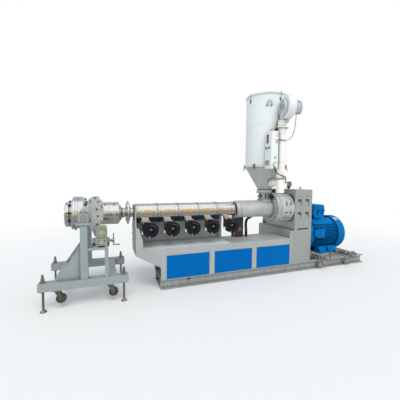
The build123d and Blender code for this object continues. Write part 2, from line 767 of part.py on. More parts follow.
def belt_guard():
    """The sheet guard: front with louvres and slots, open towards the die end below its top band."""
    sheet = GUARD_SHEET
    outer = block(GUARD_X, GUARD_END, BASE_FRONT, MOTOR_BASE_REAR, HOUSING_TOP, GUARD_TOP)
    inside = block(
        GUARD_X + sheet, GUARD_END - sheet, BASE_FRONT + sheet, MOTOR_BASE_REAR - sheet,
        HOUSING_TOP - 1, GUARD_TOP - sheet)
    mouth = block(
        GUARD_X - 1, GUARD_X + sheet + 1, BASE_FRONT + GUARD_SIDE_LIP, MOTOR_BASE_REAR - GUARD_SIDE_LIP,
        HOUSING_TOP - 1, GUARD_TOP - GUARD_TOP_BAND)
    guard = outer - inside - mouth
    for x in LOUVRE_X:
        for z in LOUVRE_Z:
            guard += louvre_wedge(x, z, sheet / 2) - louvre_wedge(x, z, 0)
            guard -= block(x, x + LOUVRE_WIDTH, BASE_FRONT - 1, BASE_FRONT + sheet, z, z + LOUVRE_HEIGHT)
        vent = LOUVRE_Z[1] + LOUVRE_HEIGHT + VENT_SLOT_RISE
        guard -= block(x, x + LOUVRE_WIDTH, BASE_FRONT - 1, BASE_FRONT + sheet + 1, vent, vent + VENT_SLOT_HEIGHT)
    low = GRIP_SLOT_Z - GRIP_SLOT_HEIGHT / 2
    guard -= block(*GRIP_SLOT_X, BASE_FRONT - 1, BASE_FRONT + sheet + 1, low, low + GRIP_SLOT_HEIGHT)
    guard += rod_z(GUARD_TOP, BREATHER_Z, BREATHER_STEM_RADIUS, BREATHER_X, 0)
    half = BREATHER_THICKNESS / 2
    return guard + rod_y(-half, half, BREATHER_RADIUS, BREATHER_X, BREATHER_Z)


def motor_slides():
    """Two slide bars across the base under the motor carriage."""
    pieces = []
    for x in (SCREW_X[0] + SLIDE_INSET, SCREW_X[1] - SLIDE_INSET):
        half = SLIDE_WIDTH / 2
        pieces.append(block(x - half, x + half, BASE_FRONT, MOTOR_BASE_REAR, CHANNEL_HEIGHT, CARRIAGE_LOW))
    return group(pieces)


def motor_carriage():
    """The plate that carries the motor, with a nut block for each adjusting screw."""
    front = MOTOR_Y - CARRIAGE_HALF_WIDTH
    back = MOTOR_Y + CARRIAGE_HALF_WIDTH
    plate = block(SCREW_X[0] - NUT_BLOCK, SCREW_X[1] + NUT_BLOCK, front, back, CARRIAGE_LOW, CARRIAGE_TOP)
    for x in SCREW_X:
        top = SCREW_HEIGHT + NUT_BLOCK_HALF
        nut = block(x - NUT_BLOCK_HALF, x + NUT_BLOCK_HALF, front - NUT_BLOCK, front, CARRIAGE_LOW, top)
        plate += nut - rod_y(front - NUT_BLOCK - 1, front + 1, SCREW_RADIUS + SCREW_CLEARANCE, x, SCREW_HEIGHT)
    return plate


def motor_fins():
    """Level cooling fins on both sides of the frame, cut to a round outside."""
    x0 = SHIELD_END
    ring = rod_x(x0, FAN_COVER_X, FIN_RADIUS, 0, 0)
    fins = []
    lowest = -FIN_PITCH * (FIN_COUNT_EACH_SIDE - 1) / 2
    for index in range(FIN_COUNT_EACH_SIDE):
        z = lowest + index * FIN_PITCH
        half = FIN_THICKNESS / 2
        fins.append(block(x0, FAN_COVER_X, -FIN_RADIUS, FIN_RADIUS, z - half, z + half))
    return ring & (Part() + fins)


def motor_body():
    """The finned frame with its rounded drive-end shield, shaft, smooth shoulders and plate pad."""
    radius = MOTOR_BODY_RADIUS
    nose = MOTOR_NOSE_RADIUS
    along, out = MOTOR_BULGE
    shoulder = SHIELD_END - MOTOR_SHOULDER
    bulge = (MOTOR_START + (SHIELD_END - MOTOR_START) * along, radius * out)
    arc = ThreePointArc((MOTOR_START, nose), bulge, (shoulder, radius))
    back = (FAN_COVER_X, radius)
    rest = Polyline((shoulder, radius), back, (FAN_COVER_X, 0), (MOTOR_START, 0), (MOTOR_START, nose))
    body = revolve(make_face([arc, rest]), Axis.X)
    body += motor_fins()
    half = FACET_WIDTH / 2
    facet = block(SHIELD_END, FAN_COVER_X - FACET_END_GAP, -FIN_RADIUS, -FACET_ROOT, -half, half)
    for tilt in (FACET_TILT, 180 - FACET_TILT):
        body += Rot(-tilt, 0, 0) * facet
    body += block(*PAD_X, -FIN_RADIUS - PAD_RAISE, -FACET_ROOT, *PAD_Z)
    body += rod_x(GUARD_END, MOTOR_START, MOTOR_SHAFT_RADIUS, 0, 0)
    return Pos(0, MOTOR_Y, MOTOR_Z) * body


def motor_feet():
    """The two cast feet, each with a notch at mid length."""
    pieces = []
    body = rod_x(FOOT_X[0] - 1, FOOT_X[1] + 1, MOTOR_BODY_RADIUS, MOTOR_Y, MOTOR_Z)
    for side in (-1, 1):
        outer = MOTOR_Y + side * FOOT_REACH
        inner = MOTOR_Y + side * FOOT_INNER
        points = [
            (outer, CARRIAGE_TOP),
            (outer, CARRIAGE_TOP + FOOT_THICKNESS),
            (outer - side * FOOT_TOE, CARRIAGE_TOP + FOOT_WEB_HEIGHT),
            (inner, CARRIAGE_TOP + FOOT_WEB_HEIGHT),
            (inner, CARRIAGE_TOP),
        ]
        foot = plate_yz(points, *FOOT_X) - body
        notch_y = sorted((outer + side, outer - side * FOOT_NOTCH_DEPTH))
        foot -= block(*FOOT_NOTCH_X, *notch_y, CARRIAGE_TOP + FOOT_THICKNESS, MOTOR_Z)
        pieces.append(foot)
    return group(pieces)


def motor_fan_cover():
    """The fan cowl with a rounded rim and ring slots in its end."""
    edge = FAN_COVER_EDGE
    radius = FAN_COVER_RADIUS
    rim_start = MOTOR_END - edge
    middle = edge * (1 - math.sqrt(0.5))
    arc = ThreePointArc((rim_start, radius), (MOTOR_END - middle, radius - middle), (MOTOR_END, radius - edge))
    front = (FAN_COVER_X, radius)
    rest = Polyline((MOTOR_END, radius - edge), (MOTOR_END, 0), (FAN_COVER_X, 0), front, (rim_start, radius))
    cover = revolve(make_face([arc, rest]), Axis.X)
    floor = MOTOR_END - FAN_RING_DEPTH
    spokes = block(floor - 1, MOTOR_END + 1, -FAN_SPOKE, FAN_SPOKE, -radius, radius)
    spokes += block(floor - 1, MOTOR_END + 1, -radius, radius, -FAN_SPOKE, FAN_SPOKE)
    for ring in range(FAN_RING_COUNT):
        inner = FAN_RING_START + FAN_RING_PITCH * ring
        slot = rod_x(floor, MOTOR_END + 1, inner + FAN_RING_WIDTH, 0, 0)
        slot -= rod_x(floor - 1, MOTOR_END + 2, inner, 0, 0)
        cover -= slot - spokes
    return Pos(0, MOTOR_Y, MOTOR_Z) * cover


def motor_terminal_box():
    """The terminal box with large round corners, on its neck, with two glands in front."""
    body_top = MOTOR_Z + MOTOR_BODY_RADIUS
    low = body_top + TERMINAL_NECK
    y0 = MOTOR_Y + TERMINAL_Y[0]
    y1 = MOTOR_Y + TERMINAL_Y[1]
    box = block(*TERMINAL_X, y0, y1, low, low + TERMINAL_HEIGHT)
    box = fillet(box.edges().filter_by(Axis.Y), TERMINAL_CORNER)
    inset = TERMINAL_NECK_INSET
    root = body_top - TERMINAL_NECK_ROOT
    neck = block(TERMINAL_X[0] + inset, TERMINAL_X[1] - inset, y0 + inset, y1, root, low)
    box += neck - motor_body()
    for share in (0.36, 0.78):
        x = TERMINAL_X[0] + share * (TERMINAL_X[1] - TERMINAL_X[0])
        box += rod_y(y0 - GLAND_LENGTH, y0, GLAND_RADIUS, x, low + 1.6 * TERMINAL_CORNER)
    return box


def screw_bracket(x):
    """An upright on the front channel that holds an adjusting screw."""
    y = BASE_FRONT
    half = BRACKET_WIDTH / 2
    plate = block(x - half, x + half, y - BRACKET_THICKNESS, y, BRACKET_FOOT_Z, SCREW_HEIGHT + BRACKET_ABOVE_SCREW)
    return plate - rod_y(y - 20, y + 1, SCREW_RADIUS + SCREW_CLEARANCE, x, SCREW_HEIGHT)


def screw_brackets():
    return group(screw_bracket(x) for x in SCREW_X)


def handwheel(index):
    """A dished handwheel with three spokes, and the adjusting screw that it turns."""
    rim_radius = HANDWHEEL_RADIUS[index] - HANDWHEEL_RIM
    wheel = Pos(0, 0, -HANDWHEEL_DISH) * Torus(rim_radius, HANDWHEEL_RIM)
    start = HANDWHEEL_HUB - 8
    length = math.hypot(rim_radius - start, HANDWHEEL_DISH)
    lean = math.degrees(math.atan2(HANDWHEEL_DISH, rim_radius - start))
    for spoke in range(3):
        arm = Pos(start, 0, 0) * Rot(0, 90 + lean, 0) * Pos(0, 0, length / 2) * Cylinder(HANDWHEEL_SPOKE, length)
        wheel += Rot(0, 0, 120 * spoke + 30) * arm
    reach = MOTOR_Y - CARRIAGE_HALF_WIDTH - HANDWHEEL_Y - 6
    hub = HANDWHEEL_HUB
    stem = [(0, -20), (hub - 4, -20), (hub, -16), (hub, 20), (SCREW_RADIUS, 20), (SCREW_RADIUS, reach), (0, reach)]
    wheel += revolve(Plane.XZ * make_face(Polyline(*stem, close=True)), Axis.Z)
    return Pos(SCREW_X[index], HANDWHEEL_Y, SCREW_HEIGHT) * Rot(-90, 0, 0) * wheel


def dryer_shell():
    """The cylinder of the hopper, open inside, with a rim at its foot."""
    low = DRYER_BOTTOM
    outer = DRYER_RADIUS
    points = [
        (outer - HOPPER_WALL, low),
        (outer + HOPPER_RIM, low),
        (outer + HOPPER_RIM, low + HOPPER_RIM_HEIGHT),
        (outer, low + HOPPER_RIM_HEIGHT),
        (outer, DRYER_TOP),
        (outer - HOPPER_WALL, DRYER_TOP),
    ]
    return turned_z(points, DRYER_X, 0)


def dryer_latches():
    """Toggle latches over the seam between the hopper's cylinder and its cone."""
    depth, width, height = LATCH_SIZE
    low = DRYER_BOTTOM
    face = DRYER_RADIUS + HOPPER_RIM
    wall = rod_z(low - height, low + height, DRYER_RADIUS, 0, 0)
    pieces = []
    for index in range(LATCH_COUNT):
        lever = block(face, face + depth, -width / 2, width / 2, low - height / 2, low + height / 2)
        keeper_low = low + height / 2 - LATCH_KEEPER
        keeper = block(DRYER_RADIUS - 2, face + depth / 2, -width / 2, width / 2, keeper_low, low + height / 2)
        turn = Rot(0, 0, LATCH_START + index * 360 / LATCH_COUNT)
        pieces.append(Pos(DRYER_X, 0, 0) * turn * (lever + (keeper - wall)))
    return group(pieces)


def dryer_cone():
    """The discharge cone with its top rim and the thick flange at its foot."""
    inner = DRYER_RADIUS - HOPPER_WALL
    foot_inner = CONE_FOOT_RADIUS - HOPPER_WALL
    low = CONE_BOTTOM
    rim = DRYER_BOTTOM - HOPPER_RIM_HEIGHT
    slope = (DRYER_RADIUS - CONE_FOOT_RADIUS) / (DRYER_BOTTOM - CONE_BOTTOM)
    points = [
        (foot_inner, low - HOPPER_FLANGE_THICKNESS),
        (HOPPER_FLANGE_RADIUS, low - HOPPER_FLANGE_THICKNESS),
        (HOPPER_FLANGE_RADIUS, low),
        (CONE_FOOT_RADIUS, low),
        (DRYER_RADIUS - slope * HOPPER_RIM_HEIGHT, rim),
        (DRYER_RADIUS + HOPPER_RIM, rim),
        (DRYER_RADIUS + HOPPER_RIM, DRYER_BOTTOM),
        (inner, DRYER_BOTTOM),
        (foot_inner, low),
    ]
    return turned_z(points, DRYER_X, 0)


def dryer_lid():
    """The lid: a rolled rim round the shell's top, a shallow cone and a pull knob."""
    outer = DRYER_RADIUS + LID_OVERHANG
    edge = LID_EDGE
    top = DRYER_TOP + LID_RIM
    rise = DRYER_TOP + LID_RISE
    points = [
        (0, DRYER_TOP),
        (outer - edge, DRYER_TOP),
        (outer, DRYER_TOP + edge),
        (outer, top - edge),
        (outer - edge, top),
        (DRYER_RADIUS - 20, top),
        (60, rise),
        (0, rise),
    ]
    return turned_z(points, DRYER_X, 0)


def feed_throat():
    """The square throat between the hopper's flange and the feed barrel, with a sight glass recess."""
    top = CONE_BOTTOM - HOPPER_FLANGE_THICKNESS
    half = THROAT_HALF
    saddle_top = AXIS_HEIGHT + FEED_RADIUS + THROAT_PLATE
    body = block(DRYER_X - half, DRYER_X + half, -half, half, AXIS_HEIGHT, top)
    plate_half = HOPPER_FLANGE_RADIUS * 0.75
    body += block(DRYER_X - plate_half, DRYER_X + plate_half, -plate_half, plate_half, top - THROAT_PLATE, top)
    saddle = block(
        DRYER_X - SADDLE_HALF, DRYER_X + SADDLE_HALF, -SADDLE_HALF, SADDLE_HALF, AXIS_HEIGHT, saddle_top)
    body += saddle
    low_cut = AXIS_HEIGHT + FEED_RADIUS - SADDLE_DROP
    body -= block(DRYER_X - 200, DRYER_X + 200, -200, 200, AXIS_HEIGHT - 1, low_cut)
    body -= rod_x(DRYER_X - 200, FLANGE_X, FEED_RADIUS, 0, AXIS_HEIGHT)
    middle = (saddle_top + top - THROAT_PLATE) / 2
    sight_x = DRYER_X - half / 2
    z0 = middle - SIGHT_HEIGHT / 2
    body -= block(sight_x, sight_x + SIGHT_WIDTH, -half - 1, SIGHT_DEPTH - half, z0, z0 + SIGHT_HEIGHT)
    left, front = THROAT_KNOBS
    knob = rod_z(0, left[1], left[0], 0, 0) + rod_z(left[1], left[1] + left[3], left[2], 0, 0)
    body += Pos(DRYER_X - half, 0, middle) * Rot(0, -90, 0) * knob
    knob = rod_z(0, front[1], front[0], 0, 0) + rod_z(front[1], front[1] + front[3], front[2], 0, 0)
    body += Pos(DRYER_X + half - THROAT_KNOB_INSET, -half, middle) * Rot(90, 0, 0) * knob
    return body


def dryer_tube():
    """The upright heater tube in front of the hopper, its collars, and its branch into the cone."""
    tube = rod_z(TUBE_BOTTOM, TUBE_TOP, TUBE_RADIUS, TUBE_X, TUBE_Y)
    for z in (TUBE_BOTTOM + TUBE_LOW_COLLAR_ABOVE_FOOT, TUBE_TOP - TUBE_HIGH_COLLAR_BELOW_TOP):
        tube += rod_z(z, z + TUBE_COLLAR_HEIGHT, TUBE_RADIUS + TUBE_COLLAR, TUBE_X, TUBE_Y)
    flange_low = TUBE_TOP - TUBE_FLANGE_BELOW_TOP
    flange_top = flange_low + TUBE_FLANGE_HEIGHT
    flange = rod_z(flange_low, flange_top, TUBE_RADIUS + TUBE_FLANGE, TUBE_X, TUBE_Y)
    tube += flange - rod_z(flange_low - 1, flange_top + 1, DRYER_RADIUS + HOPPER_RIM, DRYER_X, 0)
    slope = (DRYER_RADIUS - CONE_FOOT_RADIUS) / (DRYER_BOTTOM - CONE_BOTTOM)
    meet = CONE_FOOT_RADIUS + slope * BRANCH_ABOVE_CONE_FOOT
    branch = rod_y(TUBE_Y, -CONE_FOOT_RADIUS, BRANCH_RADIUS, TUBE_X, BRANCH_HEIGHT)
    branch += rod_y(-meet - 60, -meet - 36, BRANCH_RADIUS + BRANCH_COLLAR, TUBE_X, BRANCH_HEIGHT)
    cone = [(0, CONE_BOTTOM - 200), (CONE_FOOT_RADIUS, CONE_BOTTOM - 200), (CONE_FOOT_RADIUS, CONE_BOTTOM)]
    cone += [(DRYER_RADIUS, DRYER_BOTTOM), (0, DRYER_BOTTOM)]
    tube += branch - turned_z(cone, DRYER_X, 0)
    end_x, end_y, end_z = CABLE_ROUTE[-1]
    entry = block(end_x - 30, end_x + 18, end_y - 18, end_y + 18, end_z - 64, end_z - GLAND_SEAT)
    tube += entry - rod_z(end_z - 70, end_z, TUBE_RADIUS, TUBE_X, TUBE_Y)
    return tube + gland(CABLE_ROUTE[-1], CABLE_ROUTE[-2], CABLE_RADIUS)


def dryer_control_box():
    """The control box on two arms back to the hopper, with its knobs and cable outlets."""
    back = BOX_FRONT + BOX_DEPTH
    right = BOX_X + BOX_WIDTH
    body = block(BOX_X, right, BOX_FRONT, back, BOX_BOTTOM, BOX_BOTTOM + BOX_HEIGHT)
    body = fillet(body.edges(), BOX_EDGE)
    for z in (DRYER_BOTTOM + 60, BOX_BOTTOM + BOX_HEIGHT - 60):
        arm = block(BOX_X + BOX_ARM, right - BOX_EDGE, back - 1, -DRYER_RADIUS * 0.7, z, z + BOX_ARM)
        body += arm - rod_z(z - 1, z + BOX_ARM + 1, DRYER_RADIUS, DRYER_X, 0)
    for y in (BOX_FRONT + 40, back - 34):
        body += rod_x(BOX_X - KNOB_LENGTH, BOX_X, KNOB_RADIUS, y, BOX_BOTTOM + BOX_HEIGHT * 0.56)
    start_x, start_y, start_z = CABLE_ROUTE[0]
    body += block(start_x - 14, start_x + 14, start_y - 13, BOX_FRONT, start_z + GLAND_SEAT, start_z + 50)
    body += gland(CABLE_ROUTE[0], CABLE_ROUTE[1], CABLE_RADIUS)
    return body + gland(FAN_CABLE_ROUTE[0], FAN_CABLE_ROUTE[1], FAN_CABLE_RADIUS)


def dryer_blower():
    """The dryer's fan: spiral case with a rim, inlet ring, motor, and its outlet down into the tube."""
    half = VOLUTE_WIDTH / 2
    outline = scroll_outline(VOLUTE_RADIUS, VOLUTE_GROWTH, VOLUTE_MOUTH_WIDTH, VOLUTE_MOUTH_REACH)
    case = extrude(Plane.YZ.offset(-half) * Rot(0, 0, 180) * outline, amount=VOLUTE_WIDTH)
    edges = case.edges().filter_by(lambda e: abs(abs(e.center().X) - half) < 0.01)
    case = chamfer(edges, VOLUTE_RIM)
    inlet_end = -half - FAN_INLET_DEPTH
    case += rod_x(inlet_end, -half, FAN_INLET_RADIUS, 0, 0)
    case -= rod_x(inlet_end - 1, inlet_end + FAN_INLET_RECESS, FAN_INLET_RADIUS - 10, 0, 0)
    case += rod_x(half, half + FAN_MOTOR_LENGTH, FAN_MOTOR_RADIUS, 0, 0)
    placed = Pos(VOLUTE_X, VOLUTE_Y, VOLUTE_HEIGHT) * Rot(0, 0, VOLUTE_TURN) * case
    mouth_z = VOLUTE_HEIGHT - VOLUTE_MOUTH_REACH
    placed += rod_z(TUBE_TOP, mouth_z + 30, TUBE_RADIUS - 4, TUBE_X, TUBE_Y)
    return placed + gland(FAN_CABLE_ROUTE[-1], FAN_CABLE_ROUTE[-2], FAN_CABLE_RADIUS)


def gland(here, before, radius):
    """A cable gland that goes on in line from a cable's end, past that end's last run."""
    face = Plane(origin=here, z_dir=Vector(*here) - Vector(*before))
    return face * Pos(0, 0, CABLE_GLAND / 2) * Cylinder(radius + GLAND_WALL, CABLE_GLAND)


def bend_radii(route):
    """The radius of each bend of a cable: as large as the two runs beside it allow."""
    radii = []
    for before, here, after in zip(route, route[1:], route[2:]):
        first = Vector(*here) - Vector(*before)
        second = Vector(*after) - Vector(*here)
        turn = math.radians(first.get_angle(second))
        radii.append(0.45 * min(first.length, second.length) / math.tan(turn / 2))
    return radii


def cable(route, radius):
    """A cable as one round tube along its route, straight runs joined by tangent arcs."""
    radii = bend_radii(route)
    path = FilletPolyline(*route, radius=radii)
    start = Plane(origin=route[0], z_dir=Vector(*route[1]) - Vector(*route[0]))
    tube = sweep(start * Circle(radius), path=path)
    share = tube.volume / (math.pi * radius**2 * path.length)
    print("cable", round(path.length), "mm, radii", [round(r) for r in radii], "volume", round(share, 4))
    return tube


def die_end_ring():
    """The outlet ring round the pin that shapes the pipe's bore, with the gap between them."""
    x0 = DIE_X
    x1 = DIE_X + DIE_RING_LENGTH
    floor = x0 + DIE_OUTLET_DEPTH
    rim = DIE_RING_RADIUS
    points = [
        (x0, 0),
        (x0, DIE_PIN_RADIUS),
        (floor, DIE_PIN_RADIUS),
        (floor, DIE_OUTLET_RADIUS),
        (x0, DIE_OUTLET_RADIUS),
        (x0, rim - DIE_SEAM),
        (x0 + DIE_SEAM, rim),
        (x1 - DIE_SEAM, rim),
        (x1, rim - DIE_SEAM),
        (x1, 0),
    ]
    return turned_x(points, 0, AXIS_HEIGHT)


def die_body():
    """The cast die body: a cone up to the grooved belt, then down to the neck, with a flat underside."""
    x0 = DIE_X + DIE_RING_LENGTH
    top = DIE_BODY_RADIUS
    points = [(x0, 0), (x0, DIE_RING_RADIUS - DIE_SEAM), (BELT_X[0], top)]
    for share in (0.25, 0.5):
        groove = BELT_X[0] + share * (BELT_X[1] - BELT_X[0])
        points += [(groove, top), (groove, top - BELT_GROOVE)]
        points += [(groove + BELT_GROOVE_WIDTH, top - BELT_GROOVE), (groove + BELT_GROOVE_WIDTH, top)]
    points += [(BELT_X[1], top), (DIE_NECK_X, DIE_NECK_RADIUS)]
    points += [(DIE_PLATE_START, DIE_NECK_RADIUS), (DIE_PLATE_START, 0)]
    flat = AXIS_HEIGHT - DIE_FLAT_DROP
    under = block(x0 - 1, DIE_PLATE_START + 1, -top - 1, top + 1, flat - top, flat)
    return turned_x(points, 0, AXIS_HEIGHT) - under


def die_side_plate(arm):
    """The cast plate on one side of the die; the front one is taller and has an arm to the reducer."""
    x0 = DIE_PLATE_START
    x1 = DIE_PLATE_END
    z = AXIS_HEIGHT
    points = [
        (x1 + 15, z + 162),
        (x1 + 53, z + 102),
        (x1 + 46, z - 61),
        (x1 + 23, z - 106),
        (x1 - 20, z - 132),
    ]
    if arm:
        points += [(x1 - 20, REDUCER_WAIST + 10), (x1 - 46, REDUCER_WAIST - 10)]
    points += [(x0, z - 109)]
    if arm:
        points += [(x0, z + 192), (x0 + 44, z + 223), (x1 + 4, z + 227)]
    else:
        points += [(x0, z + 162)]
    return plate_xz(points, -SIDE_PLATE_THICKNESS / 2, SIDE_PLATE_THICKNESS / 2)


def die_flange():
    """The eight-sided block behind the die body, with a side plate bolted to each side."""
    length = DIE_PLATE_END - DIE_PLATE_START
    octagon = RegularPolygon(SIDE_PLATE_FACE, 8, major_radius=False, rotation=22.5)
    prism = Pos(DIE_PLATE_START, 0, AXIS_HEIGHT) * extrude(Plane.YZ * octagon, amount=length)
    offset = SIDE_PLATE_FACE + SIDE_PLATE_THICKNESS / 2
    return prism + Pos(0, -offset, 0) * die_side_plate(True) + Pos(0, offset, 0) * die_side_plate(False)


def clamp_points():
    """The clamp flange's profile: a thick hub that thins towards its rim."""
    middle = (CLAMP_START + CLAMP_END) / 2
    half = CLAMP_RIM_WIDTH / 2
    return [
        (CLAMP_START, NECK_RADIUS),
        (CLAMP_START, CLAMP_HUB_RADIUS),
        (middle - half, CLAMP_RADIUS - 12),
        (middle - half, CLAMP_RADIUS),
        (middle + half, CLAMP_RADIUS),
        (middle + half, CLAMP_RADIUS - 12),
        (CLAMP_END, CLAMP_HUB_RADIUS),
        (CLAMP_END, NECK_RING_RADIUS),
    ]


def die_adapter():
    """The cylinder under the heater bands, cone, neck with its rings, and clamp flange to the barrel."""
    core = BAND_RADIUS - BAND_THICKNESS
    cone_end = BAND_END + DIE_CONE_LENGTH
    end = CLAMP_END + ADAPTER_SPIGOT
    points = [
        (DIE_PLATE_END, 0),
        (DIE_PLATE_END, core),
        (BAND_END, core),
        (cone_end, NECK_RING_RADIUS),
        (cone_end + NECK_RING_WIDTH, NECK_RING_RADIUS),
        (cone_end + NECK_RING_WIDTH, NECK_RADIUS),
    ]
    points += clamp_points()
    points += [(end - NECK_RING_WIDTH, NECK_RING_RADIUS), (end - NECK_RING_WIDTH, NECK_RADIUS + 4)]
    points += [(end, NECK_RADIUS + 4), (end, 0)]
    return turned_x(points, 0, AXIS_HEIGHT)


def die_heater_bands():
    """Two heater bands, each in two halves with a gap at the sides."""
    inner = BAND_RADIUS - BAND_THICKNESS
    middle = (DIE_PLATE_END + BAND_END) / 2
    gap = BAND_GAP / 2
    pieces = []
    for x0, x1 in ((DIE_PLATE_END + 2 * BAND_GAP, middle - gap), (middle + gap, BAND_END)):
        ring = turned_x([(x0, inner), (x0, BAND_RADIUS), (x1, BAND_RADIUS), (x1, inner)], 0, AXIS_HEIGHT)
        split = block(x0 - 1, x1 + 1, -200, 200, AXIS_HEIGHT - gap, AXIS_HEIGHT + gap)
        pieces += (ring - split).solids()
    return group(pieces)


def die_trunnions():
    """Journals on both sides of the die, each with the cast ear that joins it to the die."""
    pieces = []
    x = TRUNNION_X
    z = AXIS_HEIGHT
    ear = [
        (x - 42, z - 40),
        (x - 42, z + 58),
        (x - 28, z + 94),
        (x + 4, z + 117),
        (x + 30, z + 120),
        (x + 50, z + 102),
        (x + 53, z + 22),
        (x + 42, z - 58),
    ]
    for side in (-1, 1):
        end = BEAM_Y + BEARING_DEPTH / 2 - BEARING_END_WALL
        reach = sorted((side * DIE_NECK_RADIUS, side * end))
        ear_face = sorted((side * EAR_FACE, side * (EAR_FACE + EAR_THICKNESS)))
        piece = rod_y(*reach, TRUNNION_RADIUS, x, z) + plate_xz(ear, *ear_face)
        pieces.append(piece - die_body() - die_flange())
    return group(pieces)


def trolley_beams():
    pieces = []
    for side in (-1, 1):
        z = BEAM_BOTTOM + BEAM_SIZE / 2
        beam = tube_x(TROLLEY_LEFT, TROLLEY_RIGHT, side * BEAM_Y, z, BEAM_SIZE, BEAM_WALL)
        for x in FOOT_SCREW_X:
            beam -= rod_z(BEAM_BOTTOM - 1, BEAM_TOP + 1, FOOT_SCREW_RADIUS, x, side * BEAM_Y)
        pieces.append(beam)
    return group(pieces)


def trolley_cross_beams():
    """Cross beams of closed square tube between the two long beams."""
    inner = BEAM_Y - BEAM_SIZE / 2
    half = BEAM_SIZE / 2
    return group(block(x - half, x + half, -inner, inner, BEAM_BOTTOM, BEAM_TOP) for x in CROSS_X)


def trolley_posts():
    half = POST_SIZE / 2
    x = TRUNNION_X
    sides = (-BEAM_Y, BEAM_Y)
    return group(block(x - half, x + half, y - half, y + half, BEAM_TOP, POST_TOP) for y in sides)


def trolley_gussets():
    x = TRUNNION_X - POST_SIZE / 2
    points = [(x - GUSSET_REACH, BEAM_TOP), (x, BEAM_TOP), (x, BEAM_TOP + GUSSET_RISE)]
    half = GUSSET_THICKNESS / 2
    return group(plate_xz(points, y - half, y + half) for y in (-BEAM_Y, BEAM_Y))


def bearing_blocks():
    """The cradle plate and the bearing block on each post, bored from inside, with a round end cap."""
    x = TRUNNION_X
    pieces = []
    for side in (-1, 1):
        inner = side * (BEAM_Y - BEARING_DEPTH / 2)
        outer = side * (BEAM_Y + BEARING_DEPTH / 2)
        y0, y1 = sorted((inner, outer))
        seat_z = POST_TOP + CRADLE_THICKNESS
        plate = block(x - CRADLE_LENGTH / 2, x + CRADLE_LENGTH / 2, y0, y1, POST_TOP, seat_z)
        half = BEARING_WIDTH / 2
        seat = block(x - half, x + half, y0, y1, seat_z, AXIS_HEIGHT + BEARING_ABOVE_AXIS)
        top = seat.edges().filter_by(Axis.Y).group_by(Axis.Z)[-1]
        bore = sorted((inner - side, outer - side * BEARING_END_WALL))
        cap = sorted((outer - side, outer + side * BEARING_CAP_HEIGHT))
        bearing = plate + chamfer(top, 10) - rod_y(*bore, TRUNNION_RADIUS, x, AXIS_HEIGHT)
        pieces.append(bearing + rod_y(*cap, BEARING_CAP_RADIUS, x, AXIS_HEIGHT))
    return group(pieces)


def reducer_stand():
    """The shelf beside the front post, on its own leg."""
    x0 = TRUNNION_X + POST_SIZE / 2
    low = STAND_TOP - STAND_THICKNESS
    shelf = block(x0, STAND_RIGHT, -BEAM_Y - BEAM_SIZE / 2, STAND_BACK, low, STAND_TOP)
    leg = block(STAND_RIGHT - STAND_LEG, STAND_RIGHT, -BEAM_Y - STAND_LEG, -BEAM_Y, BEAM_TOP, low)
    return shelf + leg


def worm_reducer():
    """The cast reducer: feet, worm housing along the shaft, and the wheel housing with its round cover."""
    x0, x1 = REDUCER_X
    y0, y1 = REDUCER_Y
    mid_y = (y0 + y1) / 2
    low = STAND_TOP + REDUCER_FOOT
    inset = REDUCER_INSET
    body = block(x0 + inset, x1 - inset, y0 + inset / 2, y1 - inset / 2, low, REDUCER_WAIST)
    upper = block(x0 + inset, x1 - inset, y0, y1, REDUCER_WAIST - inset, REDUCER_TOP)
    body += chamfer(upper.edges().group_by(Axis.Z)[-1], REDUCER_SLOPE)
    for edge in (x0, x1 - REDUCER_LUG - inset):
        body += block(edge, edge + REDUCER_LUG + inset, y0, y1, STAND_TOP, low + 1)
    cover_x = (x0 + x1) / 2
    cover_z = (REDUCER_WAIST + REDUCER_TOP) / 2
    step = WORM_COVER_REACH
    body += rod_y(y0 - step, y0, REDUCER_COVER_RADIUS, cover_x, cover_z)
    body += rod_y(y0 - 2 * step, y0 - step, REDUCER_COVER_RADIUS / 2, cover_x, cover_z)
    body += rod_x(x0 - step, x1 - step, WORM_COVER_RADIUS, mid_y, WORM_HEIGHT)
    return body + rod_x(x1 - inset, x1 + WORM_REACH, WORM_RADIUS, mid_y, WORM_HEIGHT)


def reducer_crank():
    """A three-armed star handle with a grip, pushed over the worm shaft's end."""
    x = REDUCER_X[1] + WORM_REACH
    star = rod_x(x - 28, x + 10, CRANK_HUB_RADIUS, 0, 0)
    star -= rod_x(x - 29, x + ROLL_CLEARANCE, WORM_RADIUS + ROLL_CLEARANCE, 0, 0)
    inner = CRANK_HUB_RADIUS - 3
    length = CRANK_RADIUS - inner
    for arm in range(3):
        bar = Pos(x, 0, inner + length / 2) * Cylinder(CRANK_ROD, length)
        star += Rot(120 * arm, 0, 0) * (bar + Pos(x, 0, CRANK_RADIUS) * Sphere(CRANK_ROD + 3))
    grip = rod_x(x, x + CRANK_GRIP_LENGTH, CRANK_ROD + 2, 0, 0)
    star += Rot(120, 0, 0) * Pos(0, 0, CRANK_RADIUS) * grip
    return Pos(0, (REDUCER_Y[0] + REDUCER_Y[1]) / 2, WORM_HEIGHT) * star


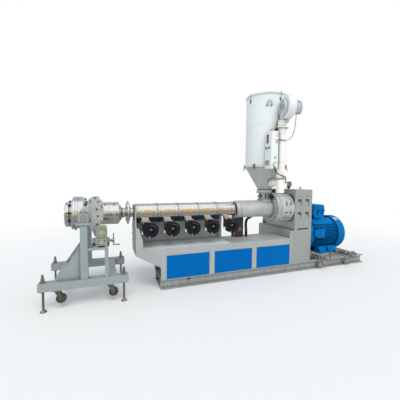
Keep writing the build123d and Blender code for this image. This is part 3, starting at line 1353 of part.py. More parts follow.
def levelling_screw(x, y):
    """A splayed foot and screw, with a locknut under the beam and a tapered cap on top of it."""
    screw = FOOT_SCREW_RADIUS
    nut = LOCKNUT_RADIUS
    cap_top = BEAM_TOP + SCREW_CAP_HEIGHT
    points = [
        (0, 0),
        (FOOT_RADIUS, 0),
        (FOOT_RADIUS, FOOT_RIM),
        (screw + 4, FOOT_HEIGHT),
        (screw, FOOT_HEIGHT + 10),
        (screw, BEAM_BOTTOM - LOCKNUT_HEIGHT),
        (nut, BEAM_BOTTOM - LOCKNUT_HEIGHT),
        (nut, BEAM_BOTTOM),
        (screw, BEAM_BOTTOM),
        (screw, BEAM_TOP),
        (nut, BEAM_TOP),
        (screw + 1, cap_top),
        (screw - 2, cap_top + SCREW_STUB),
        (0, cap_top + SCREW_STUB),
    ]
    return turned_z(points, x, y)


def levelling_screws():
    return group(levelling_screw(x, y) for y in (-BEAM_Y, BEAM_Y) for x in FOOT_SCREW_X)


def caster_plates():
    """The four top plates, each with its kingpin."""
    pieces = []
    half = CASTER_PLATE / 2
    pin_low = FORK_TOP - 2 * FORK_CROWN_HEIGHT
    for _, column, side in CASTER_NAMES:
        x = CASTER_X[column]
        y = side * BEAM_Y
        plate = block(x - half, x + half, y - half, y + half, BEAM_BOTTOM - CASTER_PLATE_THICKNESS, BEAM_BOTTOM)
        pieces.append(plate + rod_z(pin_low, BEAM_BOTTOM - 1, KINGPIN_RADIUS, x, y))
    return group(pieces)


def caster_fork(x, y):
    """A swivel fork whose arms rake back to the axle."""
    inner = WHEEL_WIDTH / 2 + FORK_GAP
    outer = inner + FORK_ARM
    axle_x = x + CASTER_TRAIL
    low = FORK_TOP - FORK_CROWN_HEIGHT
    fork = rod_z(low, FORK_TOP, FORK_CROWN_RADIUS, x, y)
    fork -= rod_z(low - 1, FORK_TOP + 1, KINGPIN_RADIUS + ROLL_CLEARANCE, x, y)
    arm = [
        (x - 24, low),
        (x - 24, FORK_TOP),
        (x + FORK_CROWN_RADIUS, FORK_TOP),
        (axle_x + 14, WHEEL_CENTRE + 6),
        (axle_x + 10, WHEEL_CENTRE - 14),
        (axle_x - 10, WHEEL_CENTRE - 14),
    ]
    for side in (-1, 1):
        fork += plate_xz(arm, *sorted((y + side * inner, y + side * outer)))
    return fork + rod_y(y - outer - 4, y + outer + 4, AXLE_RADIUS, axle_x, WHEEL_CENTRE)


def caster_wheel(x, y):
    """A wheel with a dished centre, a hub and a rounded tyre."""
    half = WHEEL_WIDTH / 2
    hub = AXLE_RADIUS + 10
    side = [
        (AXLE_RADIUS + ROLL_CLEARANCE, half + 3),
        (hub, half + 3),
        (hub + 2, half - 6),
        (WHEEL_RADIUS - 12, half - 6),
        (WHEEL_RADIUS - 8, half),
        (WHEEL_RADIUS - 3, half),
        (WHEEL_RADIUS, half - 3),
    ]
    points = [(radius, -width) for radius, width in side] + side[::-1]
    wheel = revolve(Plane.XZ * make_face(Polyline(*points, close=True)), Axis.Z)
    return Pos(x + CASTER_TRAIL, y, WHEEL_CENTRE) * Rot(90, 0, 0) * wheel


PIECES = {
    "base_channels": base_channels,
    "base_cross_members": base_cross_members,
    "front_wall": lambda: side_wall(BASE_FRONT, BASE_FRONT + SHEET),
    "rear_wall": lambda: side_wall(BASE_REAR - SHEET, BASE_REAR),
    "deck": deck,
    "front_panels": front_panels,
    "barrel_end_plate": barrel_end_plate,
    "rear_shield": rear_shield,
    "barrel": barrel,
    "heater_covers": heater_covers,
    "cooling_blowers": cooling_blowers,
    "blower_ducts": blower_ducts,
    "feed_barrel": feed_barrel,
    "gearbox_drum": gearbox_drum,
    "gearbox_case": gearbox_case,
    "gear_housing": gear_housing,
    "belt_guard": belt_guard,
    "motor_slides": motor_slides,
    "motor_carriage": motor_carriage,
    "motor_body": motor_body,
    "motor_feet": motor_feet,
    "motor_fan_cover": motor_fan_cover,
    "motor_terminal_box": motor_terminal_box,
    "screw_brackets": screw_brackets,
    "handwheel_left": lambda: handwheel(0),
    "handwheel_right": lambda: handwheel(1),
    "dryer_shell": dryer_shell,
    "dryer_latches": dryer_latches,
    "dryer_cone": dryer_cone,
    "dryer_lid": dryer_lid,
    "feed_throat": feed_throat,
    "dryer_heater_tube": dryer_tube,
    "dryer_control_box": dryer_control_box,
    "dryer_blower": dryer_blower,
    "heater_cable": lambda: cable(CABLE_ROUTE, CABLE_RADIUS),
    "fan_cable": lambda: cable(FAN_CABLE_ROUTE, FAN_CABLE_RADIUS),
    "die_end_ring": die_end_ring,
    "die_body": die_body,
    "die_trunnions": die_trunnions,
    "die_flange": die_flange,
    "die_adapter": die_adapter,
    "die_heater_bands": die_heater_bands,
    "trolley_beams": trolley_beams,
    "trolley_cross_beams": trolley_cross_beams,
    "trolley_posts": trolley_posts,
    "trolley_gussets": trolley_gussets,
    "bearing_blocks": bearing_blocks,
    "reducer_stand": reducer_stand,
    "worm_reducer": worm_reducer,
    "reducer_crank": reducer_crank,
    "levelling_screws": levelling_screws,
    "caster_plates": caster_plates,
}


def main():
    os.makedirs("parts", exist_ok=True)
    for name, make in PIECES.items():
        save(name, make())
    for name, column, side in CASTER_NAMES:
        save("caster_fork_" + name, caster_fork(CASTER_X[column], side * BEAM_Y))
        save("caster_wheel_" + name, caster_wheel(CASTER_X[column], side * BEAM_Y))


main()
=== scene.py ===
import json
import math
import random
from itertools import product

import bmesh
import bpy
from mathutils import Matrix, Vector


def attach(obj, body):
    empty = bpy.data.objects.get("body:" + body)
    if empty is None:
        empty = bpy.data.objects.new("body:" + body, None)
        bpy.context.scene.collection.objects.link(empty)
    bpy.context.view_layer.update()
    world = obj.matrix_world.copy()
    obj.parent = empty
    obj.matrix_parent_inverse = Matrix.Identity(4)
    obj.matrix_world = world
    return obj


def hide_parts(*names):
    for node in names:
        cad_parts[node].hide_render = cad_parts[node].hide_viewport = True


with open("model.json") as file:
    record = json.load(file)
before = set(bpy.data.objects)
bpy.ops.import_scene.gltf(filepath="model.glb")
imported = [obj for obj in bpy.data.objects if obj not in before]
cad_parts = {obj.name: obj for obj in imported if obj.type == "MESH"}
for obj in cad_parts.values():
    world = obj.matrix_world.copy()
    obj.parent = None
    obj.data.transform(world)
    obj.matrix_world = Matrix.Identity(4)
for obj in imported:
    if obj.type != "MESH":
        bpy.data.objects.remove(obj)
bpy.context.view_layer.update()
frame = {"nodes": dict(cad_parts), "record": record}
nodes = frame["nodes"]
draw = random.Random(7)

# The machine's own coordinates: mm, X from the base's left end, Y from the screw line, Z from the floor.
CENTRE = Vector((1155.0, -4.2534901385523085, 0))
TO_FRAME = Matrix.Scale(0.001, 4) @ Matrix.Translation(-CENTRE)
RIGHT, LEFT = Vector((1, 0, 0)), Vector((-1, 0, 0))
BACK, FRONT, UP = Vector((0, 1, 0)), Vector((0, -1, 0)), Vector((0, 0, 1))
SIDES = (-1, 1)  # the operator's side, then the far side

# The photo's camera: its place in machine mm, then yaw, pitch and roll in degrees.
CAMERA_SPOT, CAMERA_TURN = (-642.3, -3393.6, 1403.1), (20.24, -3.78, 0.48)
CAMERA_LENS, CAMERA_SHIFT = 22.743, -0.0025

# Places in machine mm, and where the heater covers start and end along X in metres of the row frame.
AXIS = 1003.0
SCREW_LINE, MOTOR_LINE = (0, AXIS), (290.0, 482.0)
TRUNNION_X, BEAM_Y = -889.0, 355.0
BLOWERS, PITCH, BLOWER_Z = 5, 286, 799.0
COVERS_X = (-1.46, -0.03)
SPINDLES, SPINDLE_Z = {"left": 2655, "right": 3235}, 188
DRYER_X, SHELL_RADIUS = 1690.0, 300.0
BOX_X = 1482.0
DRUM_WINDOWS_X, REDUCER_X, DIE_SIDE_Y = (1950, 2032), -709, 213
CURVE_STEPS = 6

# The hall that the steel mirrors, the light of the sky, and where the floor turns white, in metres.
ROOM_LAMPS, ROOM_CEILING = (1.0, 0.99, 0.97, 1), (0.43, 0.47, 0.53, 1)
ROOM_FRONT, ROOM_BEHIND, ROOM_FLOOR = (0.7, 0.61, 0.43, 1), (0.6, 0.63, 0.68, 1), (0.31, 0.3, 0.28, 1)
AMBIENT, WHITE = (0.56, 0.6, 0.645, 1), (1, 1, 1, 1)
FLOOR_NEAR, FLOOR_FAR = 3.4, 8.0


def at(place):
    """A point of the machine in metres in the row frame."""
    return TO_FRAME @ Vector(place)


def add_object(name, data):
    thing = bpy.data.objects.new(name, data)
    bpy.context.scene.collection.objects.link(thing)
    return thing


def set_camera():
    yaw, pitch, roll = (math.radians(a) for a in CAMERA_TURN)
    forward = Vector((math.sin(yaw) * math.cos(pitch), math.cos(yaw) * math.cos(pitch), math.sin(pitch)))
    right = Vector((math.cos(yaw), -math.sin(yaw), 0))
    up = right.cross(forward)
    side = right * math.cos(roll) + up * math.sin(roll)
    top = up * math.cos(roll) - right * math.sin(roll)
    data = bpy.data.cameras.new("camera")
    data.lens, data.sensor_width, data.shift_y, data.clip_end = CAMERA_LENS, 36, CAMERA_SHIFT, 200
    camera = add_object("camera", data)
    turn = Matrix((side, top, -forward)).transposed().to_4x4()
    camera.matrix_world = Matrix.Translation(at(CAMERA_SPOT)) @ turn
    bpy.context.scene.camera = camera


def linear(code):
    """The linear colour of a hex code."""
    out = []
    for i in (0, 2, 4):
        c = int(code[i:i + 2], 16) / 255
        out.append(c / 12.92 if c <= 0.04045 else ((c + 0.055) / 1.055) ** 2.4)
    return (*out, 1.0)


def shade(colour, factor):
    return (*[min(1.0, c * factor) for c in colour[:3]], 1.0)


class Graph:
    """A node graph, built up socket by socket."""

    def __init__(self, tree):
        self.tree = tree

    def new(self, kind, **settings):
        made = self.tree.nodes.new("ShaderNode" + kind)
        for key, value in settings.items():
            setattr(made, key, value)
        return made

    def feed(self, value, socket):
        if isinstance(value, bpy.types.NodeSocket):
            self.tree.links.new(value, socket)
        else:
            socket.default_value = value

    def fill(self, made, **values):
        """Sets a node's inputs, with _ for a space in their names, and gives its outputs."""
        for key, value in values.items():
            self.feed(value, made.inputs[key.replace("_", " ")])
        return made.outputs

    def remap(self, value, low, high, to_low=0.0, to_high=1.0, smooth=False):
        made = self.new("MapRange", interpolation_type="SMOOTHSTEP" if smooth else "LINEAR")
        return self.fill(made, Value=value, From_Min=low, From_Max=high, To_Min=to_low, To_Max=to_high)["Result"]

    def window(self, value, *edges):
        """One between the two middle edges, falling to nothing at the outer ones."""
        return self.times(self.remap(value, *edges[:2]), self.remap(value, *edges[:1:-1]))

    def math(self, operation, a, b=0.0):
        made = self.new("Math", operation=operation, use_clamp=True)
        self.feed(a, made.inputs[0])
        self.feed(b, made.inputs[1])
        return made.outputs[0]

    def times(self, value, *factors):
        for factor in factors:
            value = self.math("MULTIPLY", value, factor)
        return value

    def mix(self, factor, a, b):
        return self.fill(self.new("Mix", data_type="RGBA"), Factor=factor, A=a, B=b)["Result"]

    def part(self, vector, letter):
        return self.fill(self.new("SeparateXYZ"), Vector=vector)[letter]


FINISHES = {}  # name: the material and the record's slot that stands for it


class Finish(Graph):
    """A material, kept by its name with the record's slot that stands for it."""

    def __init__(self, name, slot=None):
        self.material = bpy.data.materials.new(name)
        self.material.use_nodes = True
        super().__init__(self.material.node_tree)
        self.tree.nodes.clear()
        self.surface = self.new("OutputMaterial").inputs["Surface"]
        self.shader = self.new("BsdfPrincipled")
        self.feed(self.shader.outputs["BSDF"], self.surface)
        self.coords = self.new("TexCoord").outputs["Object"]
        FINISHES[name] = self.material, slot or name

    def noise(self, scale, detail, rough, stretch=None, warp=0.0):
        vector = self.coords
        if stretch:
            vector = self.fill(self.new("Mapping"), Vector=vector, Scale=stretch)["Vector"]
        return self.fill(self.new("TexNoise"), Vector=vector, Scale=scale, Detail=detail, Roughness=rough,
                         Distortion=warp)["Fac"]

    def bump(self, height, strength, distance):
        made = self.fill(self.new("Bump"), Strength=strength, Distance=distance, Height=height)
        self.fill(self.shader, Normal=made["Normal"])

    def colour(self, value, painted_crease_shade=0.0, reach=0.05):
        """The colour, with painted shade where surfaces meet or lie close together."""
        if painted_crease_shade:
            made = self.fill(self.new("AmbientOcclusion", samples=6), Distance=reach)
            # Ambient occlusion mixes in a near-black here: painted shade.
            value = self.mix(self.remap(made["AO"], 0.35, 0.95, painted_crease_shade, 0.0), value, (0.012, 0.013, 0.016, 1))
        self.fill(self.shader, Base_Color=value)

    def roughness(self, value, low, high):
        self.fill(self.shader, Roughness=self.remap(value, 0.3, 0.7, low, high))


def paint(name, code, slot=None, rough=(0.35, 0.5), grime=0.25, grime_code="6b5f50", low=0.0, high=0.5,
          chips=0.5, chip_code="4a4642", dust=0.12, metal=0.0, coat=0.0, peel=0.12, variation=0.07, gleam=0.5,
          painted_crease_shade=0.55, reach=0.05, far=None):
    """Sprayed paint: soft patches, dirt that thickens towards the floor, dust, chips, orange peel and painted shade
    in creases.
    """
    g = Finish(name, slot)
    base = linear(code)
    patches = g.noise(2.6, 6, 0.6, warp=0.4)
    fine = g.noise(38, 5, 0.6)
    tone = g.mix(g.remap(patches, 0.3, 0.7), shade(base, 1 - variation), shade(base, 1 + variation))
    tone = g.mix(g.remap(fine, 0.35, 0.7, 0, 0.35), tone, shade(base, 1 - 1.6 * variation))
    if far:
        start, end, factor = far
        tone = g.mix(g.remap(g.part(g.coords, "X"), start, end), tone, shade(base, factor))
    streaks = g.noise(1.0, 5, 0.65, stretch=(26, 26, 1.6))
    floor = g.remap(g.part(g.coords, "Z"), low, high, 1.0, 0.12, smooth=True)
    tone = g.mix(g.times(g.remap(streaks, 0.42, 0.78), floor, grime), tone, linear(grime_code))
    upward = g.part(g.new("NewGeometry").outputs["Normal"], "Z")
    settled = g.times(g.remap(upward, 0.5, 1.0), g.remap(fine, 0.3, 0.65), dust)
    tone = g.mix(settled, tone, linear("9c9484"))
    spots = g.noise(64, 3, 0.7, warp=0.8)
    worn = g.times(g.remap(spots, 0.71, 0.74), g.remap(patches, 0.45, 0.62), chips)
    g.colour(g.mix(worn, tone, linear(chip_code)), painted_crease_shade, reach)
    g.roughness(g.noise(14, 5, 0.6), *rough)
    g.fill(g.shader, Metallic=metal, Coat_Weight=coat, Coat_Roughness=0.12, Specular_IOR_Level=gleam)
    g.bump(g.noise(330, 3, 0.6), peel, 0.0006)


def steel(name, code, slot=None, rough=(0.18, 0.34), stretch=(420, 5, 5), stain=0.3, stain_code="7b6a4e",
          metal=1.0, groove=0.16, variation=0.1, glow=0.0):
    """Machined or polished steel: tool marks round the axis, heat and oil stains, small nicks."""
    g = Finish(name, slot)
    base = linear(code)
    marks = g.noise(1.0, 3, 0.55, stretch=stretch)
    patches = g.noise(4.2, 6, 0.62, warp=0.7)
    tone = g.mix(g.remap(marks, 0.35, 0.68), shade(base, 1 - variation), shade(base, 1 + variation))
    tone = g.mix(g.times(g.remap(patches, 0.52, 0.72), stain), tone, linear(stain_code))
    if glow:
        # Painted warm reflections on the side of each cover, in two bands one above the other.
        height = g.part(g.coords, "Z")
        cell = g.math("FRACT", g.remap(g.part(g.coords, "X"), *COVERS_X, 0, BLOWERS))
        along = g.window(cell, 0.11, 0.22, 0.78, 0.89)
        cloud = g.remap(g.noise(1.0, 3, 0.6, stretch=(8, 1, 10)), 0.42, 0.62, 0.1, 1)
        low, high = g.window(height, 0.958, 0.978, 0.998, 1.016), g.window(height, 0.998, 1.014, 1.034, 1.052)
        tone = g.mix(g.times(low, along, glow * 0.55), tone, linear("f4c8a8"))
        tone = g.mix(g.times(high, g.times(along, cloud), glow), tone, linear("f4c672"))
    nicks = g.noise(90, 2, 0.7, warp=1.2)
    tone = g.mix(g.remap(nicks, 0.73, 0.76, 0, 0.45), tone, shade(base, 0.4))
    # Painted shade where surfaces meet or lie close together.
    g.colour(tone, 0.6, 0.03)
    g.roughness(g.math("ADD", g.times(marks, 0.55), g.times(patches, 0.45)), *rough)
    g.fill(g.shader, Metallic=metal)
    g.bump(marks, groove, 0.0004)


def cast(name, code, rough=(0.42, 0.6), metal=0.35, grain=0.35, grime=0.3):
    """A casting under silver or grey paint: sandy skin, and hollows darkened by painted shade."""
    g = Finish(name)
    base = linear(code)
    sand = g.noise(210, 4, 0.65)
    patches = g.noise(6, 6, 0.6, warp=0.5)
    tone = g.mix(g.remap(patches, 0.32, 0.7), shade(base, 0.86), shade(base, 1.1))
    tone = g.mix(g.remap(sand, 0.35, 0.6, 0.3, 0), tone, shade(base, 0.62))
    oil = g.noise(11, 5, 0.7, warp=1.5)
    # Oil stains, then painted shade in the hollows.
    g.colour(g.mix(g.remap(oil, 0.56, 0.72, 0, grime), tone, linear("4c4a45")), 0.6)
    g.roughness(oil, *rough)
    g.fill(g.shader, Metallic=metal)
    g.bump(sand, grain, 0.0009)


def rubber(name, code, rough=(0.6, 0.8), dust=0.25):
    """Rubber or cable sheath: matt, slightly dusty, with a fine grain."""
    g = Finish(name)
    g.colour(g.mix(g.remap(g.noise(30, 5, 0.6), 0.35, 0.7, 0, dust), linear(code), linear("8d877c")))
    g.roughness(g.noise(60, 4, 0.6), *rough)
    g.bump(g.noise(520, 3, 0.6), 0.2, 0.0004)


# The finishes of the record's own slots.
EVEN = (90, 90, 90)  # marks that run no one way
paint("frame_grey", "a9aeac", grime=0.3, low=0.1, high=0.75, variation=0.05, gleam=0.3, far=(0.80, 0.95, 0.8),
      painted_crease_shade=0.4, reach=0.03)
paint("base_grey", "a8afae", grime=0.6, high=0.2, chips=0.8, grime_code="5d4f40")
paint("panel_blue", "0064ae", grime=0.12, grime_code="0e4570", low=0.12, gleam=0.03, chip_code="6f8fa8",
      chips=0.25, dust=0.0, variation=0.05, painted_crease_shade=0.3)
# glow paints warm reflections onto the heater covers.
steel("steel_polished", "eceef0", rough=(0.1, 0.24), stain=0.12, glow=0.8)
steel("steel_dark", "6f6f70", rough=(0.3, 0.5), stain=0.5, stain_code="4a3a2a")
cast("cast_silver", "cdd1d2", metal=0.4, rough=(0.3, 0.48), grime=0.2)
paint("black_paint", "0e101f", rough=(0.2, 0.34), grime=0.05, chips=0.2, chip_code="4a4a50", dust=0.06,
      variation=0.2)
steel("duct_zinc", "b9bcbd", rough=(0.32, 0.46), stretch=(60, 60, 60), stain=0.15, metal=0.7)
paint("motor_blue", "0070b4", rough=(0.4, 0.55), grime=0.15, grime_code="0c3a62", low=0.1, high=0.7,
      gleam=0.04, chip_code="3f6f96", chips=0.2, dust=0.0, variation=0.08, painted_crease_shade=0.65, reach=0.022)
steel("chrome", "cbbfb2", rough=(0.05, 0.12), stretch=(30, 30, 30), stain=0.12, groove=0.03)
paint("dryer_white", "e6ecec", rough=(0.25, 0.38), grime=0.1, grime_code="a39b88", low=1.5, high=2.9,
      chips=0.15, dust=0.05, coat=0.35, variation=0.02, peel=0.06)
paint("dryer_grey", "c0c5c1", low=1.2, high=1.8, chips=0.3, variation=0.05, metal=0.2)
paint("duct_ivory", "f7f5ee", rough=(0.25, 0.36), grime=0.12, grime_code="a8987a", low=1.2, high=2.4,
      chips=0.15, dust=0.05, coat=0.3, variation=0.02, peel=0.06)
paint("trolley_grey", "959fa0", rough=(0.34, 0.5), grime=0.08, low=0.1, high=0.9)
cast("reducer_green", "9fab98", metal=0.05, rough=(0.4, 0.55), grain=0.3)
steel("zinc_plated", "a6a8a6", rough=(0.3, 0.5), stretch=(40, 40, 160), stain=0.45)
rubber("caster_rubber", "3a3836")
rubber("cable_black", "1b1b1d", rough=(0.45, 0.6), dust=0.12)

# The finishes of small pieces, each with the record's slot that stands for it.
steel("bolt_zinc", "a3a5a2", "zinc_plated", (0.28, 0.45), EVEN, 0.4, metal=0.85)
steel("bolt_black", "2c2b2d", "steel_dark", (0.3, 0.5), EVEN, metal=0.6)
steel("bolt_dark", "57524d", "steel_dark", (0.35, 0.55), EVEN, 0.5, "5d4632", metal=0.6)
steel("bolt_rusty", "6e5342", "steel_dark", (0.5, 0.75), EVEN, 0.7, "573823", metal=0.3, groove=0.4)
steel("rust_thread", "7a5b45", "steel_dark", (0.45, 0.7), EVEN, 0.6, "4f3524", metal=0.4, groove=0.4)
steel("brass", "b8935a", "steel_polished", (0.2, 0.38), EVEN)
steel("band_steel", "7e848a", "steel_dark", (0.3, 0.45), EVEN, metal=0.8)
steel("grille", "8b8d8e", "zinc_plated", (0.3, 0.5), EVEN, 0.25, metal=0.7)
steel("label_blank", "c3c6c6", "zinc_plated", (0.3, 0.45), (8, 200, 8), 0.12, metal=0.5)
steel("dryer_grip", "b6bebf", "zinc_plated", (0.25, 0.4), (60, 60, 60), 0.2, metal=0.7)
paint("fan_dark", "1a1a20", "black_paint", grime=0.1, dust=0.1, variation=0.15)
paint("hub_grey", "59616a", "black_paint", (0.2, 0.35), 0.05, dust=0.1, variation=0.15)
paint("tray_dark", "363d4a", "black_paint", (0.4, 0.6), 0.2, dust=0.1, variation=0.15)
paint("yellow_plastic", "dcd03a", "dryer_white", (0.3, 0.45), 0.15, chips=0.2, variation=0.05)
paint("white_plastic", "dcdad2", "dryer_white", (0.3, 0.45), 0.15, chips=0.1, variation=0.04)
paint("red_plastic", "a8442f", "dryer_white", grime=0.15, chips=0.1, variation=0.06)
paint("lamp_orange", "d9822b", "dryer_white", (0.15, 0.25), 0.05, chips=0.0, coat=0.5, variation=0.05)
paint("inlet_grey", "f6fafc", "dryer_white", grime=0.05, dust=0.05, chips=0.1, painted_crease_shade=0.0)
paint("display_glass", "4a5158", "cable_black", (0.08, 0.16), 0.0, chips=0.0, coat=0.8, dust=0.05, peel=0.02,
      variation=0.05)
paint("knob_black", "1b1b1d", "cable_black", grime=0.05, chips=0.0, dust=0.2, variation=0.1)
paint("gap_dark", "141414", "cable_black", (0.7, 0.9), 0.0, chips=0.0, dust=0.05, variation=0.1)
paint("seam_shadow", "4a5356", "trolley_grey", (0.5, 0.7), 0.2, dust=0.1, chips=0.1)
paint("breather_grey", "8b918f", "trolley_grey", (0.4, 0.55), 0.2, chips=0.2)
# A paler grey for the deck: painted light that brightens the deck where the blowers shade it.
paint("deck_painted_light", "d3dbdf", "frame_grey", grime=0.15, low=0.1, high=0.75, variation=0.05, painted_crease_shade=0.2, reach=0.02)
paint("pane_grey", "83868a", "frame_grey", (0.3, 0.45), 0.2, dust=0.1, chips=0.1, painted_crease_shade=0.35)
paint("louvre_dark", "5b5b57", "frame_grey", (0.5, 0.7), 0.1, dust=0.1, chips=0.0, painted_crease_shade=0.3)
paint("strip_brown", "a85a2c", "frame_grey", (0.45, 0.6), 0.2, chips=0.2, variation=0.1)
paint("seam", "b7ab97", "frame_grey", (0.5, 0.7), 0.4, low=0.1, chips=0.4)
paint("rust_edge", "c0a78f", "frame_grey", (0.5, 0.7), 0.4, low=0.1, high=1.3, chip_code="6d4a33")
paint("dark_edge_line", "7d6a5b", "frame_grey", (0.55, 0.75), 0.5, chips=0.8, chip_code="5a3a26")
paint("slot_navy", "101c3c", "motor_blue", (0.4, 0.6), 0.05, chips=0.0, dust=0.05, gleam=0.2)


def dress_nodes():
    """Each CAD node takes the material of its record slot."""
    for part in frame["record"]["subparts"]:
        thing = nodes[part["node"]]
        thing.data.materials.clear()
        thing.data.materials.append(FINISHES[part["material_slot"]][0])
        thing.data.shade_smooth()
        thing.data.set_sharp_from_angle(angle=math.radians(32))


# Each cable's radius and route in machine mm, and its length in metres.
CABLES = {
    "heater_cable": (7.0, 0.369, [
        (1545, -450, 1625), (1546, -451, 1580), (1572, -454, 1543), (1618, -457, 1518),
        (1668, -457, 1502), (1716, -452, 1492), (1768, -418, 1470), (1775, -386, 1413)]),
    "fan_cable": (4.0, 0.525, [
        (1616, -402, 2012), (1660, -432, 2001), (1716, -456, 1994), (1768, -466, 2014), (1806, -474, 2062),
        (1824, -482, 2130), (1832, -492, 2210), (1830, -503, 2290), (1828, -508, 2352)]),
}


def lay_cable(name, radius, length, route):
    data = bpy.data.curves.new(name + "_line", "CURVE")
    data.dimensions = "3D"
    data.bevel_depth = radius / 1000
    data.bevel_resolution = 5
    spline = data.splines.new("NURBS")
    spline.points.add(len(route) - 1)
    for point, place in zip(spline.points, route):
        point.co = (*at(place), 1)
    spline.order_u = 3
    spline.use_endpoint_u = True
    spline.resolution_u = 16
    line = add_object(name + "_line", data)
    data.materials.append(FINISHES["cable_black"][0])
    at(route[0])
    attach(line, "line")
    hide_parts(name)


pieces = []  # every Piece, in the order of making


class Piece:
    """One object made of small forms in machine mm, with one finish, on one body."""

    def __init__(self, name, finish, body="line", place=Matrix.Identity(4)):
        self.name, self.finish, self.body, self.place = name, finish, body, place
        self.mesh = bmesh.new()
        pieces.append(self)

    def skin(self, rings, closed, rim=True):
        """Faces from ring to ring of points, and over both ends where the row of rings is open."""
        count = len(rings)
        for i in range(count if closed else count - 1):
            one, two = rings[i], rings[(i + 1) % count]
            for k in range(len(one) if rim else len(one) - 1):
                n = (k + 1) % len(one)
                self.mesh.faces.new([one[k], one[n], two[n], two[k]])
        if not closed:
            self.mesh.faces.new(rings[0][::-1])
            self.mesh.faces.new(rings[-1])

    def turned(self, profile, centre, axis=UP, segments=24, start=0.0, sweep=360.0):
        """A turned form from (radius, height) points about an axis through centre; a hoop closes itself."""
        if profile[0][0] and profile[-1][0]:
            profile = [*profile, profile[0]]
        place = Matrix.Translation(centre) @ UP.rotation_difference(Vector(axis)).to_matrix().to_4x4()
        closed = sweep == 360
        rings = []
        for step in range(segments if closed else segments + 1):
            angle = math.radians(start + sweep * step / segments)
            rings.append([self.mesh.verts.new(place @ Vector((r * math.cos(angle), r * math.sin(angle), height)))
                          for r, height in profile])
        self.skin(rings, closed, rim=False)

    def solid(self, profile, centre, axis, segments=24):
        """A turned form whose profile is led to the axis at both ends."""
        self.turned([(0, profile[0][1]), *profile, (0, profile[-1][1])], centre, axis, segments)

    def rod(self, centre, axis, radius, length, edge=None, segments=24):
        """A solid round bar from centre along axis, with chamfered ends."""
        c = min(radius, length) * 0.12 if edge is None else edge
        self.solid([(radius - c, 0), (radius, c), (radius, length - c), (radius - c, length)], centre, axis, segments)

    def ring(self, centre, axis, inner, outer, height, segments=32):
        c = min(outer - inner, height) * 0.2
        self.turned([(inner, c), (inner + c, 0), (outer - c, 0), (outer, c), (outer, height - c),
                     (outer - c, height), (inner + c, height), (inner, height - c)], centre, axis, segments)

    def bolt(self, centre, axis, size, washer=True):
        """A hexagon head on its washer, seated on a face at centre."""
        sunk, seat, across = -0.5, size * 0.14, size * 0.9
        if washer:
            self.solid([(size * 1.05, sunk), (size * 1.05, seat)], centre, axis, 16)
        top = 0.65 * size + seat
        self.turned([(0, sunk), (across, sunk), (across, top - size * 0.12), (across * 0.84, top), (0, top)],
                    centre, axis, 6, start=draw.uniform(0, 60))

    def bolt_grid(self, xs, ys, zs, axis, size):
        """A bolt wherever the given x, y and z cross, z changing fastest."""
        for centre in product(xs, ys, zs):
            self.bolt(centre, axis, size)

    def bolt_circle(self, centre, axis, radius, count, start, size, washer=True):
        for spot, _ in around(centre, axis, radius, count, start):
            self.bolt(spot, axis, size, washer)

    def cap_screw(self, centre, axis, r, head=None):
        """A socket-head screw with its hexagon recess."""
        h = r * 1.1 if head is None else head
        self.solid([(r, -0.5), (r, h * 0.9), (r * 0.88, h), (r * 0.5, h), (r * 0.5, h * 0.45)], centre, axis, 18)

    def box(self, one, other, edge, segments=2):
        """A block between two corners with rounded edges."""
        low, high = Vector(map(min, one, other)), Vector(map(max, one, other))
        middle, size = (low + high) / 2, high - low
        made = bmesh.ops.create_cube(self.mesh, size=1)["verts"]
        for vert in made:
            vert.co = Vector(a * b for a, b in zip(vert.co, size)) + middle
        edges = list({e for v in made for e in v.link_edges})
        bmesh.ops.bevel(self.mesh, geom=edges, offset=min(edge, min(size) * 0.45), segments=segments,
                        affect="EDGES", profile=0.5)

    def plate(self, points, normal, thickness):
        """A flat plate from an outline, pushed along normal."""
        push = Vector(normal) * thickness
        self.skin([[self.mesh.verts.new(Vector(p) + shift) for p in points] for shift in (Vector(), push)], False)

    def pipe(self, points, radius, segments=10, closed=False, smooth=True):
        """A round bar bent through points, smoothed by a Catmull line."""
        path = [Vector(p) for p in points]
        if smooth:
            path = smooth_line(path, closed)
        count = len(path)
        rings, side = [], None
        for i, spot in enumerate(path):
            ahead = path[(i + 1) % count] if closed else path[min(i + 1, count - 1)]
            behind = path[i - 1] if closed else path[max(i - 1, 0)]
            along = (ahead - behind).normalized()
            if side is None:
                side = along.orthogonal().normalized()
            side = (side - along * side.dot(along)).normalized()
            other = along.cross(side)
            rings.append([self.mesh.verts.new(spot + (side * c + other * s) * radius) for c, s in circle(segments)])
        self.skin(rings, closed)

    def weld(self, points, radius=3.0, closed=False):
        """A weld bead along a line of points, straight between corners."""
        points = [Vector(p) for p in points]
        ends = points[1:] + points[:1] if closed else points[1:]
        for one, two in zip(points, ends):
            count = max(2, int((two - one).length / 14))
            self.pipe([one.lerp(two, i / count) + Vector([draw.uniform(-0.35, 0.35) * radius for _ in range(3)])
                       for i in range(count + 1)], radius, segments=6)

    def make(self):
        self.mesh.transform(TO_FRAME @ self.place)
        bmesh.ops.recalc_face_normals(self.mesh, faces=self.mesh.faces)
        data = bpy.data.meshes.new(self.name)
        self.mesh.to_mesh(data)
        self.mesh.free()
        material, slot = FINISHES[self.finish]
        data.materials.append(material)
        data.shade_smooth()
        data.set_sharp_from_angle(angle=math.radians(30))
        thing = add_object(self.name, data)
        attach(thing, self.body)


def circle(count):
    return [(math.cos(a), math.sin(a)) for a in (2 * math.pi * k / count for k in range(count))]


